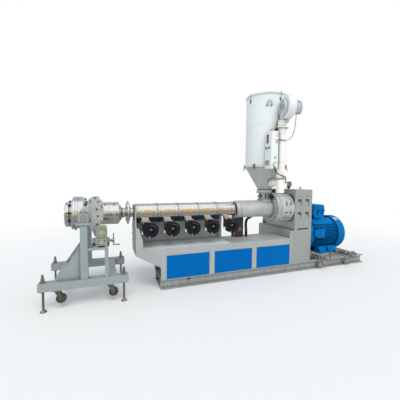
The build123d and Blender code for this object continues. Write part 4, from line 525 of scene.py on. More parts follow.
def smooth_line(points, closed):
    """Points of a Catmull line through the given ones."""
    if len(points) == 2:
        return points
    out = []
    count = len(points)
    for i in range(count if closed else count - 1):
        p1, p2 = points[i], points[(i + 1) % count]
        p0 = points[i - 1] if closed or i else p1 * 2 - p2
        p3 = points[(i + 2) % count] if closed or i + 2 < count else p2 * 2 - p1
        for t in (k / CURVE_STEPS for k in range(CURVE_STEPS)):
            out.append(0.5 * (2 * p1 + (p2 - p0) * t + (2 * p0 - 5 * p1 + 4 * p2 - p3) * t * t
                              + (3 * p1 - p0 - 3 * p2 + p3) * t ** 3))
    return out if closed else [*out, points[-1]]


def around(centre, axis, radius, count, start=0.0):
    """Places on a circle about an axis, each with its outward direction."""
    turn = UP.rotation_difference(Vector(axis)).to_matrix()
    for i in range(count):
        angle = math.radians(start + 360 * i / count)
        out = turn @ Vector((math.cos(angle), math.sin(angle), 0))
        yield Vector(centre) + out * radius, out


def on_line(x, radius, angle, line=SCREW_LINE):
    """A place beside a line along X and its outward direction: 0 degrees is the operator's side, 90 the top."""
    a = math.radians(angle)
    out = Vector((0, -math.cos(a), math.sin(a)))
    return Vector((x, *line)) + out * radius, out


def round_line(x, radius, count, start=0.0, line=SCREW_LINE):
    return [on_line(x, radius, start + 360 * k / count, line) for k in range(count)]


def on_shell(angle, z):
    """A place on the hopper's shell: 0 degrees is the operator's side, 90 the die's side."""
    a = math.radians(angle)
    out = Vector((-math.sin(a), -math.cos(a), 0))
    return Vector((DRYER_X, 0, z)) + out * SHELL_RADIUS, out


def on_wall(spot, out, *offsets):
    """Points that lie sideways, outward and up from a place on an upright wall."""
    return [spot + UP.cross(out) * a + out * b + UP * c for a, b, c in offsets]


def pair(middle, half):
    return middle - half, middle + half


def square(x, y, z, half):
    return [(x - half, y - half, z), (x + half, y - half, z), (x + half, y + half, z), (x - half, y + half, z)]


def hoop(inner, outer, height):
    return [(inner, 0), (outer, 0), (outer, height), (inner, height)]


def die_fittings():
    screws = Piece("die_socket_screws", "bolt_black")
    for spot, out in round_line(-1050.5, 160, 10, 12):
        if out.z > -0.85:
            screws.cap_screw(spot, LEFT, 9, 20)
    for spot, out in round_line(-889.5, 187, 12, 12):
        if -0.7 < out.z and abs(out.z) > 0.3:
            screws.cap_screw(spot, out * 0.64 + RIGHT * 0.77, 8, 9)
    for spot, _ in round_line(-1109, 124, 8):
        screws.cap_screw(spot, LEFT, 7, 8)
    holes = [(-776, 1211, 9), (-826, 1182, 6), (-826, 1156, 6), (-836, 960, 6), (-828, 932, 6),
             (-706, 1119, 6), (-701, 1095, 7), (-709, 931, 7), (-759, 902, 7), (-741, 1165, 8)]
    for side, (x, z, size) in product(SIDES, holes):
        if side < 0 or z < 1150:
            screws.cap_screw((x, side * DIE_SIDE_Y, z), BACK * side, size, size * 0.8)
    plugs = Piece("die_plugs", "bolt_zinc")
    for side, (x, z) in product(SIDES, ((-756, 1078), (-747, 997))):
        plugs.solid([(14, -1), (14, 3), (12, 5), (7, 5), (7, 1)], (x, side * DIE_SIDE_Y, z), BACK * side)
    for x, lean in ((-411, -0.955), (-374.7, 0.955)):
        for spot, out in round_line(x, 108, 8):
            plugs.bolt(spot, RIGHT * lean + out * 0.297, 9)
    for place in round_line(-446, 62, 6, 15):
        plugs.cap_screw(*place, 5)
    plugs.solid([(26, 0), (26, 4), (22, 6), (12, 6), (12, 2)], (-1109, 0, AXIS), LEFT, 30)
    brass = Piece("die_brass_studs", "brass")
    for angle, x in product((54, 126), (-668, -563)):
        brass.solid([(9, -1), (9, 5), (7, 6), (7, 13), (5, 14), (5, 17)], *on_line(x, 139, angle), 16)
    for angle in (9.7, 170.3):
        brass.solid([(12, -1), (12, 3), (10, 5), (5, 5), (5, 2)], *on_line(-1087, 147, angle), 22)
    clamps = Piece("die_band_clamps", "bolt_zinc")
    for x, side in product((-706, -646, -600, -530), SIDES):
        for z in (AXIS + 4, AXIS - 10):
            clamps.box((x - 10, side * 138, z), (x + 10, side * 151, z + 6), 1.5)
        clamps.rod((x, side * 145, AXIS - 15), UP, 3, 30, segments=12)
        clamps.bolt((x, side * 145, AXIS + 10), UP, 5, washer=False)
    hook = Piece("die_bottom_clamp", "knob_black")
    hook.box((-1046, -45, 828), (-1004, 45, 854), 5)
    hook.plate([(x, -16, z) for x, z in ((-1012, 846), (-1012, 812), (-1001, 806), (-994, 814), (-1002, 846))],
               BACK, 32)


def trolley_fittings():
    bolts = Piece("trolley_bolts", "bolt_zinc")
    rings = Piece("bearing_cap_rings", "gap_dark")
    cradle = Piece("cradle_fronts", "trolley_grey")
    shadow_lines = Piece("cradle_shadow_lines", "seam_shadow")
    caps = Piece("beam_end_caps", "knob_black")
    for side in SIDES:
        y = side * BEAM_Y
        bolts.bolt_grid(pair(TRUNNION_X, 36), (y,), (1049,), UP, 8)
        bolts.bolt_grid(pair(TRUNNION_X, 68), pair(y, 24), (952,), UP, 6)
        rings.ring((TRUNNION_X, side * 398, AXIS), BACK * side, 28, 32, 1.4)
        rings.ring((TRUNNION_X, side * 401.6, AXIS), BACK * side, 9, 12, 1.4, 24)
        # The cradle fronts are grey plates; the thin dark strips beneath and above the cradle plate are painted
        # shadow lines.
        for piece, half, inner, outer, low, high, edge in (
                (cradle, 80, 394, 402, 921.5, 950.5, 2), (cradle, 54.5, 394, 398.4, 957, 1047, 2),
                (shadow_lines, 38.4, 390, 393.8, 914.5, 921.5, 0.6), (shadow_lines, 55.5, 390, 397.8, 950.5, 954, 0.6)):
            piece.box((TRUNNION_X - half, side * inner, low), (TRUNNION_X + half, side * outer, high), edge)
        for x in (-1343, -427):
            caps.box((x, y - 42, 234), (x + 5, y + 42, 318), 2.4)
    beads = Piece("trolley_welds", "trolley_grey")
    for side in SIDES:
        y = side * BEAM_Y
        for z in (321, 920):
            beads.weld(square(TRUNNION_X, y, z, 38), closed=True)
        for near in pair(y, 6):
            beads.weld([(-1174, near, 321), (-929, near, 322), (-928, near, 680)])
        for x in (-1162, -622):
            beads.weld(square(x, y, 231, 45), 2.5, closed=True)
    for x, y in product((-1150, -600), (-310, 310)):
        for near in pair(x, 45):
            beads.weld([(near, y, 231), (near, y, 321)])
        beads.weld([(x - 45, y, 321), (x + 45, y, 321)])
    beads.weld([(-851, -395, 637), (-851, -395, 665), (-851, -317, 665)])
    beads.weld([(-676, -395, 321), (-676, -355, 321)])
    beads.weld([(-676, -395, 637), (-636, -395, 637)])


def reducer_fittings():
    Piece("reducer_foot_bolts", "bolt_rusty").bolt_grid((-781, -637), (-378, -244), (679,), UP, 8)
    cap = Piece("reducer_filler_cap", "yellow_plastic")
    cap.solid([(9, -1), (9, 4), (12, 4), (12, 12), (10, 15)], (-683, -322, 893), UP, 18)
    shell = Piece("reducer_covers", "reducer_green")
    screws = Piece("reducer_screws", "bolt_zinc")
    shell.ring((REDUCER_X, -400, 831.5), FRONT, 50, 59, 4)
    screws.bolt_circle((REDUCER_X, -401, 831.5), FRONT, 42, 6, 15, 5, washer=False)
    for x, way in ((-799, LEFT), (-631, RIGHT)):
        shell.turned([(14, -1), (40, -1), (40, 5), (36, 8), (18, 8), (14, 5)], (x, -310, 721), way, 28)
        screws.bolt_circle((x + 8 * way.x, -310, 721), way, 29, 4, 45, 4.5, washer=False)
    for x in (-757, -661):
        shell.plate([(x - 3, -396, 748), (x + 3, -396, 748), (x + 3, -396, 860), (x - 3, -396, 860)], FRONT, 5)
    shell.solid([(30, -2), (30, 8), (25, 12)], (REDUCER_X, -384, 722), FRONT, 28)
    screws.solid([(9, -1), (9, 4), (7, 6)], (-757, -384, 700), FRONT, 6)
    # A dark sheet in the gap under the reducer's feet and dark rings round its cover disc and boss: painted shade and
    # painted shadow lines.
    reducer_shade_marks = Piece("reducer_painted_shade", "gap_dark")
    reducer_shade_marks.box((-769, -386, 665.5), (-674, -240, 678), 0.5)
    reducer_shade_marks.ring((REDUCER_X, -400.6, 831.5), FRONT, 59, 62.5, 1.2, 40)
    reducer_shade_marks.ring((REDUCER_X, -384, 722), FRONT, 30, 32.5, 1.0)


def cover_fittings():
    bolts = Piece("cover_bolts", "bolt_dark")
    feet = Piece("cover_feet", "steel_polished")
    for i in range(BLOWERS):
        for x, side in product((PITCH * i - 266, PITCH * i - 76), SIDES):
            bolts.bolt_grid((x,), (side * 112,), (1011, 964), BACK * side, 6.5)
            feet.turned([(0, -1), (8, -1), (8, 1.5), (4, 3), (4, 8), (0, 9)], *on_line(x, 111.5, 90 + 57 * side), 14)
    for j in range(BLOWERS + 1):
        x = PITCH * j - 304 + (7 if j == 0 else -7 if j == BLOWERS else 0)
        for angle in (50, 23, 130, 157):
            bolts.bolt(*on_line(x, 115.5, angle), 6.5)
        for side in SIDES:
            bolts.bolt((x, side * 115.5, 966), BACK * side, 6.5)
    bands = Piece("cover_gap_bands", "band_steel")
    for j in range(1, BLOWERS):
        x = PITCH * j - 311
        bands.turned(hoop(110, 115.4, 14), (x, 0, AXIS), RIGHT, 40, 90, 180)
        for side in SIDES:
            bands.box((x, side * 109, 949), (x + 14, side * 115.4, AXIS), 0.8)
    rings = Piece("end_plate_bolts", "bolt_zinc")
    for spot, _ in round_line(-316, 96, 8, 22):
        rings.bolt(spot, LEFT, 9)
    for spot, _ in round_line(1156, 94, 8, 22):
        rings.cap_screw(spot, LEFT, 8)


def blower_fittings():
    fans = Piece("blower_fans", "fan_dark")
    hubs_and_highlights = Piece("blower_hubs_and_highlights", "hub_grey")
    guards = Piece("blower_guards", "black_paint")
    yellow = Piece("blower_markers", "yellow_plastic")
    white = Piece("blower_caps", "white_plastic")
    red = Piece("blower_plugs", "red_plastic")
    screws = Piece("blower_screws", "bolt_zinc")
    for i in range(BLOWERS):
        x = PITCH * i - 126
        for k in range(9):
            a = math.radians(40 * k + 9 * i)
            blade = [(22 + 24 * t, a + 0.75 * t * t) for t in (0, 0.25, 0.5, 0.75, 1)]
            edge, back = ([(x + r * math.cos(u + lag), -186, BLOWER_Z + r * math.sin(u + lag)) for r, u in blade]
                          for lag in (0, 0.08))
            fans.plate(edge + back[::-1], FRONT, 30)
        hubs_and_highlights.turned([(0, -2), (20.5, -2), (20.5, 3), (17, 8), (11, 11), (0, 12)], (x, -215, BLOWER_Z), FRONT)
        # Thin grey arcs round each hub: painted highlights.
        for reach, start, sweep in ((53, 20, 95), (61, 40, 60), (33, 150, 80)):
            hubs_and_highlights.turned(hoop(reach, reach + 2.6, 2.4), (x, -224.4, BLOWER_Z), FRONT, 16, start, sweep)
        for inner in (27, 39):
            guards.ring((x, -224, BLOWER_Z), FRONT, inner, inner + 2.4, 2.4, 36)
        for spot, out in around((x, -225.2, BLOWER_Z), FRONT, 12, 6, 10):
            guards.pipe([spot, spot + out * 40], 1.3, segments=6)
        screws.bolt_circle((x, -215, BLOWER_Z), FRONT, 64, 4, 45, 3.6, washer=False)
        guards.turned([(44, -1), (44, 4), (41, 7), (20, 9), (0, 9)], (x, -73, BLOWER_Z), BACK, 28)
        for spot, _ in around((x, -139, BLOWER_Z), BACK, 43, 18):
            guards.box((spot.x - 1.4, -136, spot.z - 1.4), (spot.x + 1.4, -80, spot.z + 1.4), 0.5, 1)
        yellow.bolt((x - 20, -215, 706), FRONT, 7)
        yellow.bolt((x - 95, -215, 884), FRONT, 6)
        white.solid([(10, 0), (12, 6), (12, 32), (8, 40)], (x - 99, -196, 780), (-0.3, -0.2, -0.93), 18)
        red.box((x - 117, -200, 832), (x - 103, -182, 852), 2)


def tray_fittings():
    tray = Piece("wiring_tray", "tray_dark")
    tray.box((-296, 163, 836), (988, 214, 903), 4)
    for i in range(BLOWERS):
        tray.box((PITCH * i - 258, 150, 846), (PITCH * i - 206, 166, 898), 5)
    Piece("wiring_tray_lid", "duct_zinc").box((-298, 158, 901), (990, 219, 907), 1.5)


def feed_fittings():
    case = Piece("rear_junction_box", "tray_dark")
    case.box((1226, 112, 544), (1392, 214, 904), 6)
    case.box((1246, 106, 600), (1376, 114, 880), 4)
    strip = Piece("junction_box_strip", "strip_brown")
    strip.box((1222, 109, 546), (1240, 132, 902), 2)
    strip.box((1300, 103, 640), (1352, 107, 700), 1.5)
    hose = Piece("feed_water_hose", "cable_black")
    hose.pipe([(1446, 120, 545), (1446, 120, 640), (1438, 118, 740), (1446, 100, 820), (1492, 60, 868),
               (1512, 20, 905)], 21, segments=16)
    for k in range(9):
        hose.ring((1446, 120, 552 + 10 * k), UP, 20, 24, 4, 20)
    clamp = Piece("feed_hose_clamp", "bolt_zinc")
    clamp.turned(hoop(21, 27, 12), (1443, 119, 664))
    clamp.box((1420, 112, 660), (1434, 126, 682), 2)


def gearbox_fittings():
    bolts = Piece("drum_bolts", "bolt_zinc")
    for spot, _ in round_line(1785, 216, 18, 4):
        bolts.bolt(spot, LEFT, 10)
    for x in DRUM_WINDOWS_X:
        bolts.bolt(*on_line(x, 240, -35), 10, washer=False)
    for angle in (60, 120):
        bolts.bolt(*on_line(1807, 239, angle), 8)
    face = Piece("drum_face_ring", "steel_polished")
    for inner, outer in ((229, 240), (176, 200)):
        face.ring((1785.5, 0, AXIS), LEFT, inner, outer, 3, 72)
    panes = Piece("drum_windows", "pane_grey")
    # Dark bosses at the two port holes: painted shade for the inside of the holes.
    plugs = Piece("drum_port_shades", "gap_dark")
    for x in DRUM_WINDOWS_X:
        spot, out = on_line(x, 212, 26)
        panes.plate([spot + RIGHT * a + RIGHT.cross(out) * b
                     for a, b in ((-24.5, -45), (24.5, -45), (24.5, 45), (-24.5, 45))], out, 5)
        plugs.solid([(15.6, -1), (15.6, 8), (12, 12), (6, 12), (6, 9)], *on_line(x, 197, -14.6), 22)
    breather = Piece("breather_ribs", "breather_grey")
    profile = [(48.5, -1), (48.5, 2), (45, 4)]
    for r in (40, 33, 26, 19, 12):
        profile += [(r + 1.5, 4), (r, 1.5), (r - 3, 1.5), (r - 4, 4)]
    for side in SIDES:
        breather.solid(profile, (2157, side * 17, 1384), BACK * side, 40)
    breather.ring((2157, 0, 1300), UP, 13, 24, 9)
    stub = Piece("guard_stub", "knob_black")
    stub.rod((2396, 0, 1299), UP, 9, 26, 2)
    stub.solid([(13, 0), (13, 10), (10, 13)], (2396, 0, 1325), UP, 18)
    cup = Piece("breather_cup", "knob_black")
    cup.turned([(13, 0), (26, 0), (30, 8), (30, 23), (24, 28), (13, 28)], (2157, 0, 1322), UP, 28)
    screws = Piece("guard_screws", "bolt_zinc")
    head = [(0, -1), (5, -1), (5, 1), (3.5, 2.5), (0, 3)]
    for x, z in product((2120, 2428), (700, 860, 1020, 1180, 1280)):
        screws.turned(head, (x, -225, z), FRONT, 14)
    for y, x in product((-190, 0, 200, 400, 600), (2125, 2423)):
        screws.turned(head, (x, y, 1300), UP, 14)
    liner = Piece("louvre_liners", "frame_grey")
    shadow = Piece("louvre_shadows", "louvre_dark")
    for x in (2160, 2308):
        for z in (838, 1042):
            liner.plate([(x + 1, -221, z + 1), (x + 75, -221, z + 1), (x + 75, -206, z + 74),
                         (x + 38, -200, z + 84), (x + 1, -206, z + 74)], BACK, 1.2)
            shadow.box((x + 1, -215, z + 76), (x + 75, -203, z + 107), 0.8)
            liner.box((x + 72.5, -221, z + 1), (x + 76, -196, z + 107), 0.5, 1)
        shadow.box((x + 2, -219.4, 1190), (x + 74, -217.4, 1200), 0.5)
    # A dark plate over the grip slot: painted shade for the inside of the slot.
    Piece("guard_grip_slot_shade", "gap_dark").box((2163, -226.0, 669), (2377, -224.6, 687), 0.6)
    seam = Piece("guard_edge_line", "rust_edge")
    seam.box((2436.5, -226.4, 140), (2440.6, -224.5, 1297), 0.6)
    seam.box((2030, -225.8, 653.2), (2437, -224.6, 656), 0.4)


def motor_fittings():
    bolts = Piece("motor_bolts", "bolt_dark")
    for spot, _ in round_line(2606, 128, 8, 22.5, MOTOR_LINE):
        bolts.bolt(spot, LEFT, 9)
    for place in round_line(2770, 262, 8, 22.5, MOTOR_LINE):
        bolts.bolt(*place, 8)
    for place in round_line(3316, 312, 6, 15, MOTOR_LINE):
        bolts.bolt(*place, 6)
    bolts.bolt_grid((2912, 3234), pair(MOTOR_LINE[0], 282), (197,), UP, 11)
    for z, x in product((816, 994), (2846, 3029)):
        bolts.bolt((x, 110, z), FRONT, 5.5)
    ribs = Piece("motor_shield_ribs", "motor_blue")
    for middle, out in round_line(0, 0, 8, 0, MOTOR_LINE):
        side = RIGHT.cross(out)
        ribs.plate([middle + RIGHT * x + out * r - side * 5
                    for x, r in ((2640, 190), (2736, 240), (2736, 268), (2680, 250))], side, 10)
    ribs.ring((2752, *MOTOR_LINE), RIGHT, 255, 270, 28, 64)
    ribs.ring((3283, *MOTOR_LINE), RIGHT, 305, 315, 14, 72)
    eyes = Piece("motor_eyebolts", "bolt_zinc")
    for x in (2790, 3200):
        base, _ = on_line(x, 266, 90, MOTOR_LINE)
        eyes.solid([(20, 0), (20, 6), (12, 10)], base, UP, 20)
        eyes.pipe([base + Vector((24 * c, 0, 33 + 24 * s)) for c, s in circle(12)], 5.5, closed=True)
    plate = Piece("motor_blank_plate", "label_blank")
    plate.turned(hoop(311.6, 313.4, 92), (3300, *MOTOR_LINE), RIGHT, 12, 203, 15)
    pad = Piece("motor_plate_pad", "motor_blue")
    pad.box((2858, -13, 470), (2932, -9.5, 594), 2)
    pad.box((2740, -9, 470), (2850, -6, 594), 1.5)
    # Dark navy strips over the motor's slots and grooves, and one at its foot: painted shade of their insides.
    slot_shades = Piece("motor_slot_shades", "slot_navy")
    for x0, x1, z in ((2748, 2925, 618), (2770, 2862, 428), (2880, 2946, 421)):
        slot_shades.box((x0, -13.5, z - 9), (x1, -5, z + 9), 2)
    slot_shades.box((3012, -19, 218), (3030, -12, 258), 2)
    glands = Piece("motor_glands", "motor_blue")
    blanks = Piece("motor_gland_blanks", "slot_navy")
    for x in (2912, 3020):
        glands.turned([(17, 0), (21, 0), (21, 8), (17, 10)], (x, 110, 917), FRONT, 6)
        glands.turned([(12, 0), (19.5, 0), (19.5, 8), (15, 12), (12, 12)], (x, 85, 917), FRONT, 6)
        blanks.solid([(12.5, -1), (12.5, 9), (9, 11)], (x, 85, 917), FRONT, 18)


def carriage_fittings():
    for end, x in SPINDLES.items():
        wheel = "handwheel_" + end
        thread = Piece("screw_thread_" + end, "rust_thread", wheel)
        for start, length in ((-305, 65), (-218, 150)):
            thread.turned(hoop(11.9, 12.15, length), (x, start, SPINDLE_Z), BACK)
            coil = circle(10) * (length // 6) + [(1, 0)]
            thread.pipe([(x + 12 * c, start + 3 + 0.6 * k, SPINDLE_Z + 12 * s) for k, (c, s) in enumerate(coil)],
                        1.1, segments=5, smooth=False)
        thread.turned([(12, 0), (20, 0), (20, 12), (18, 14), (12, 14)], (x, -262, SPINDLE_Z), BACK, 20)
        thread.turned(hoop(12, 20, 14), (x, -212, SPINDLE_Z), BACK, 20)
        cap = Piece("handwheel_cap_" + end, "chrome", wheel)
        cap.turned([(0, 0), (16, 0), (16, 3), (11, 7), (0, 8)], (x, -350, SPINDLE_Z), FRONT, 22)
        cap.turned([(25.4, 0), (27.4, 1), (27.4, 6), (25.4, 7)], (x, -325, SPINDLE_Z), BACK, 28)
    bolts = Piece("carriage_bolts", "bolt_rusty")
    for x in SPINDLES.values():
        bolts.bolt_grid(pair(x, 20), (-237,), (100, 24), FRONT, 7)
    for x, y in product((2745, 3145), (-150, 618)):
        bolts.bolt_grid(pair(x, 32), (y,), (151,), UP, 8)
    bolts.bolt_grid((2640, 3250), (30, 290, 550), (167,), UP, 8)
    Piece("slide_table", "frame_grey").box((2692, -222, 133), (3198, -60, 149), 2)
    beads = Piece("base_welds", "base_grey")
    for x in SPINDLES.values():
        for near in pair(x, 30):
            beads.weld([(near, -226, 2), (near, -226, 12)])
            beads.weld([(near, -226, 122), (near, -226, 133)])
        beads.weld([(x - 32, -62, 168), (x - 32, -22, 168), (x + 32, -22, 168), (x + 32, -62, 168)], 2.5)
    for x in (2445, 2690, 2800, 3090, 3195, 3648):
        beads.weld([(x, -168, 133), (x, -225, 134)], 2.5)


def frame_fittings():
    seam = Piece("panel_seams", "seam")
    for left in (74, 751, 1428):
        for x0, x1, z0, z1 in ((-4.5, 0.5, 134, 453.5), (597.5, 602.5, 134, 453.5),
                               (-4.5, 602.5, 448.5, 453.5), (-4.5, 602.5, 133.5, 137.5)):
            seam.box((left + x0, -226.3, z0), (left + x1, -224.5, z1), 0.5, 1)
    # A dark bead along the top of the base channels, at the foot of the panels and the guard.
    dark_line = Piece("floor_seam", "dark_edge_line")
    for x0, x1, y in ((2, 2028, -225), (2030, 2440, -225), (2, 1988, 225)):
        dark_line.weld([(x0, y, 133.5), (x1, y, 133.5)], 1.6)
    beads = Piece("frame_welds", "frame_grey")
    for line in ([(-304, -225.5, 474), (-2, -225.5, 301), (0, -225.5, 134)],
                 [(-304, 225.5, 474), (-2, 225.5, 301), (0, 225.5, 134)],
                 [(2030, -224, 136), (2030, -224, 540)], [(-303, -216, 546), (-228, -216, 546)],
                 [(2108, -220, 656), (2108, -207, 656)]):
        beads.weld(line, 2.5)
    # A pale plate on the deck: painted light over its shaded parts.
    Piece("deck_painted_light_plate", "deck_painted_light").box((-288, -219, 544), (1004, 190, 547.5), 1)
    bolts = Piece("frame_bolts", "bolt_zinc")
    bolts.bolt_grid(range(-180, 980, 190), (200,), (838,), UP, 6)
    bolts.bolt_grid((1015,), (183,), (640, 780, 900), FRONT, 6)
    bolts.bolt_grid((-316,), (-196, 196), (600, 700, 800), LEFT, 8)
    bolts.bolt_grid((2070, 2400), (640,), (175, 615), BACK, 8)


def dryer_fittings():
    grips = Piece("dryer_handles", "dryer_grip")
    for angle in (26.5, 206.5):
        spot, out = on_shell(angle, 2511)
        grips.pipe(on_wall(spot, out, (-31, -2, 0), (-31, 22, 0), (-31, 30, 12), (-23.25, 30, 46), (0, 30, 60),
                           (23.25, 30, 46), (31, 30, 12), (31, 22, 0), (31, -2, 0)), 6)
        for foot in on_wall(spot, out, (-31, 0, 0), (31, 0, 0)):
            grips.solid([(13, -2), (13, 2), (8, 4)], foot, out, 16)
    clasps = Piece("lid_clasps", "bolt_zinc")
    for angle in (84, 174, 264, 354):
        spot, out = on_shell(angle, 2610)
        clasps.plate(on_wall(spot, out, (-14, -1, -28), (14, -1, -28), (14, -1, 22), (-14, -1, 22)), out, 4)
        clasps.pipe(on_wall(spot, out, (-10, 4, -14), (0, 12, -14), (10, 4, -14)), 3, segments=8)
        clasps.pipe(on_wall(spot, out, (0, 9, -14), (0, 16, 30), (0, 18, 80), (0, 12, 106), (0, 2, 106)), 3,
                    segments=8)
    for hub, out in around((DRYER_X, 0, 1645), UP, 322, 6, 205):
        clasps.pipe(on_wall(hub, out, (-10, 0, -26), (-11, 0, 22), (0, -14, 34), (11, 0, 22), (10, 0, -26)), 2.6,
                    segments=8)
        clasps.solid([(5, 0), (5, 3), (3, 5)], hub - UP * 12, out, 12)
        clasps.pipe(on_wall(hub, out, (0, 0, -10), (0, 8, -40), (0, 16, -62)), 4.5, segments=8)
    skin = Piece("dryer_seams", "dryer_white")
    skin.pipe(on_wall(*on_shell(118, 1660), (0, 0.3, 0), (0, 0.3, 1010)), 2.2, segments=6)
    skin.ring((DRYER_X, 0, 2250), UP, 298.5, 301.6, 7, 96)
    skin.solid([(30, 0), (30, 5), (12, 8), (12, 26), (24, 34), (24, 44), (16, 50)], (DRYER_X, 0, 2699.4), UP, 28)
    bolts = Piece("throat_bolts", "bolt_dark")
    bolts.bolt_circle((DRYER_X, 0, 1291), UP, 108, 8, 22.5, 7)
    bolts.bolt_grid(pair(DRYER_X, 68), (-68, 68), (1145,), UP, 7)
    Piece("throat_gasket", "red_plastic").ring((DRYER_X, 0, 1252), UP, 94, 103, 3.2, 48)
    knobs = Piece("throat_knobs", "knob_black")
    knobs.solid([(27, 0), (28, 4), (28, 20), (24, 26), (12, 28)], (1736, -92, 1194), FRONT, 10)
    knobs.turned([(0, 0), (25, 0), (26, 4), (26, 18), (22, 24), (0, 25)], (1608, 0, 1194), LEFT, 10)
    aim = Vector((0.6, -0.8, 0.1)).normalized()
    hub = Vector((DRYER_X + 68, -90, 1275))
    knobs.rod(hub, aim, 8, 22)
    knobs.solid([(20, 0), (27, 6), (29, 18), (27, 32), (20, 38)], hub + aim * 18, aim, 12)
    Piece("throat_window", "display_glass").box((1662, -58, 1162), (1682, -51, 1226), 1)
    bands = Piece("tube_bands", "bolt_zinc")
    for z in (1703, 2109):
        bands.rod((1757, -381, z - 13), UP, 4, 26, segments=12)
        for low in (z - 9, z + 5):
            bands.box((1748, -388, low), (1762, -374, low + 4), 1)
    for x in (1612, 1780):
        bands.box((x - 12, -393, 2176), (x + 12, -366, 2192), 2)
        bands.bolt((x, -380, 2192), UP, 6)
    bands.turned([(56, 0), (60.5, 1), (60.5, 16), (56, 17)], (1696, -379, 1452), UP, 48)
    clip = Piece("tube_clip", "knob_black")
    clip.box((1750, -387, 1660), (1764, -373, 1678), 2)
    clip.pipe([(1760, -380, 1664), (1767, -383, 1655), (1763, -385, 1645)], 2.2)


def box_fittings():
    outline = [Vector((BOX_X - 1.6, -354 + 23 * c, 2014 + (44 if s > 0 else -44) + 20 * s)) for c, s in circle(24)]
    Piece("box_display", "display_glass").plate(outline, RIGHT, 2.4)
    bezel = Piece("box_bezel", "breather_grey")
    bezel.pipe([spot + LEFT * 0.4 for spot in outline], 2.4, segments=8, closed=True)
    for k in range(4):
        bezel.turned([(0, -1), (4, -1), (4, 1), (0, 1.5)], (BOX_X - 1.6, -354, 1990 + 14 * k), LEFT, 12)
    knobs = Piece("box_knobs", "hub_grey")
    for y in (-396, -332):
        bezel.turned([(11, 0), (15, 0), (15, 2.5), (11, 4)], (BOX_X, y, 1891), LEFT)
        knobs.solid([(11.6, 0), (11.6, 5), (9, 8)], (BOX_X - 11, y, 1891.2), LEFT, 20)
        knobs.box((BOX_X - 22, y - 2.5, 1881), (BOX_X - 16, y + 2.5, 1901), 1)
    vent = Piece("box_vent", "grille")
    for k in range(9):
        z = 1657 + 6.6 * k
        vent.box((BOX_X - 1.6, -396, z), (BOX_X + 0.5, -312, z + 3.6), 0.6, 1)
    for y in (-399, -312):
        vent.box((BOX_X - 2.2, y, 1652), (BOX_X + 0.5, y + 3, 1716), 0.8, 1)
    for z in (1651, 1714):
        vent.box((BOX_X - 2.2, -399, z), (BOX_X + 0.5, -309, z + 3), 0.8, 1)
    lamp = Piece("box_lamp", "lamp_orange")
    lamp.solid([(20, 0), (20, 6), (17, 8), (17, 20), (13, 27), (5, 30)], (1508, -404, 2119.5), UP, 26)
    lines = Piece("box_front_lines", "breather_grey")
    for k in range(6):
        lines.box((1566, -436.8, 2036 + 9 * k), (1594, -435.5, 2039 + 9 * k), 0.5, 1)
    for x in (1484.5, 1600.5):
        lines.box((x, -436.7, 1603), (x + 1.5, -435.6, 2117), 0.4, 1)
    blank = Piece("box_blank_labels", "label_blank")
    for x, z, wide, high in ((1556, 1950, 42, 56), (1540, 1738, 36, 34), (1548, 1668, 30, 32)):
        blank.box((x, -437.2, z), (x + wide, -435.5, z + high), 0.8, 1)
    screws = Piece("box_screws", "bolt_zinc")
    for z, x in product((1612, 2108), (1490, 1596)):
        screws.turned([(0, -1), (4, -1), (4, 1), (2.6, 2), (0, 2.2)], (x, -436, z), FRONT, 12)
    lead = Piece("box_top_lead", "cable_black")
    lead.pipe([(1572, -372, 2112), (1573, -372, 2132), (1588, -366, 2150), (1618, -352, 2160), (1634, -342, 2160)], 7)
    lead.turned([(7, 0), (15, 0), (15, 8), (11, 14), (7, 14)], (1572, -372, 2119), UP, 6)
    lead.solid([(12, 0), (12, 14)], (1632, -343, 2160), (0.8, 0.6, 0), 12)


def fan_fittings():
    place = Matrix.Translation((1715, -478, 2440)) @ Matrix.Rotation(math.radians(-15), 4, "Z")
    mesh = Piece("fan_inlet_grille", "label_blank", place=place)
    for r in range(14, 92, 13):
        mesh.ring((-72, 0, 0), LEFT, r, r + 2.2, 3, 48)
    for spot, out in around((-74.5, 0, 0), LEFT, 6, 8):
        mesh.pipe([spot, spot + out * 88], 1.6, segments=6)
    mesh.solid([(12, 0), (12, 3), (8, 5)], (-73, 0, 0), LEFT, 20)
    Piece("fan_inlet_floor", "inlet_grey", place=place).solid([(93.5, 0), (93.5, 1.2)], (-70.6, 0, 0), LEFT, 48)
    skin = Piece("fan_motor_fins", "dryer_white", place=place)
    for spot, out in around((70, 0, 0), RIGHT, 78, 26):
        side = RIGHT.cross(out)
        skin.plate([spot - side * 1.5 + RIGHT * a + out * b for a, b in ((0, 0), (86, 0), (86, 9), (0, 9))], side, 3)
    skin.turned([(80, 0), (88, 0), (88, 14), (84, 18), (80, 18)], (157, 0, 0), RIGHT, 40)
    skin.solid([(30, 0), (34, 3), (34, 5)], (175, 0, 0), RIGHT, 28)
    skin.box((84, -34, 78), (146, 34, 112), 8, 3)
    skin.ring((-84, 0, 0), LEFT, 94, 106, 4, 56)
    screws = Piece("fan_screws", "bolt_zinc", place=place)
    screws.bolt_circle((-87.5, 0, 0), LEFT, 100, 8, 22.5, 4, washer=False)
    for spot, _ in around((-55, 0, 0), LEFT, 135, 8, 10):
        if spot.z < 60 or spot.y > -40:
            screws.bolt(spot, LEFT, 5)


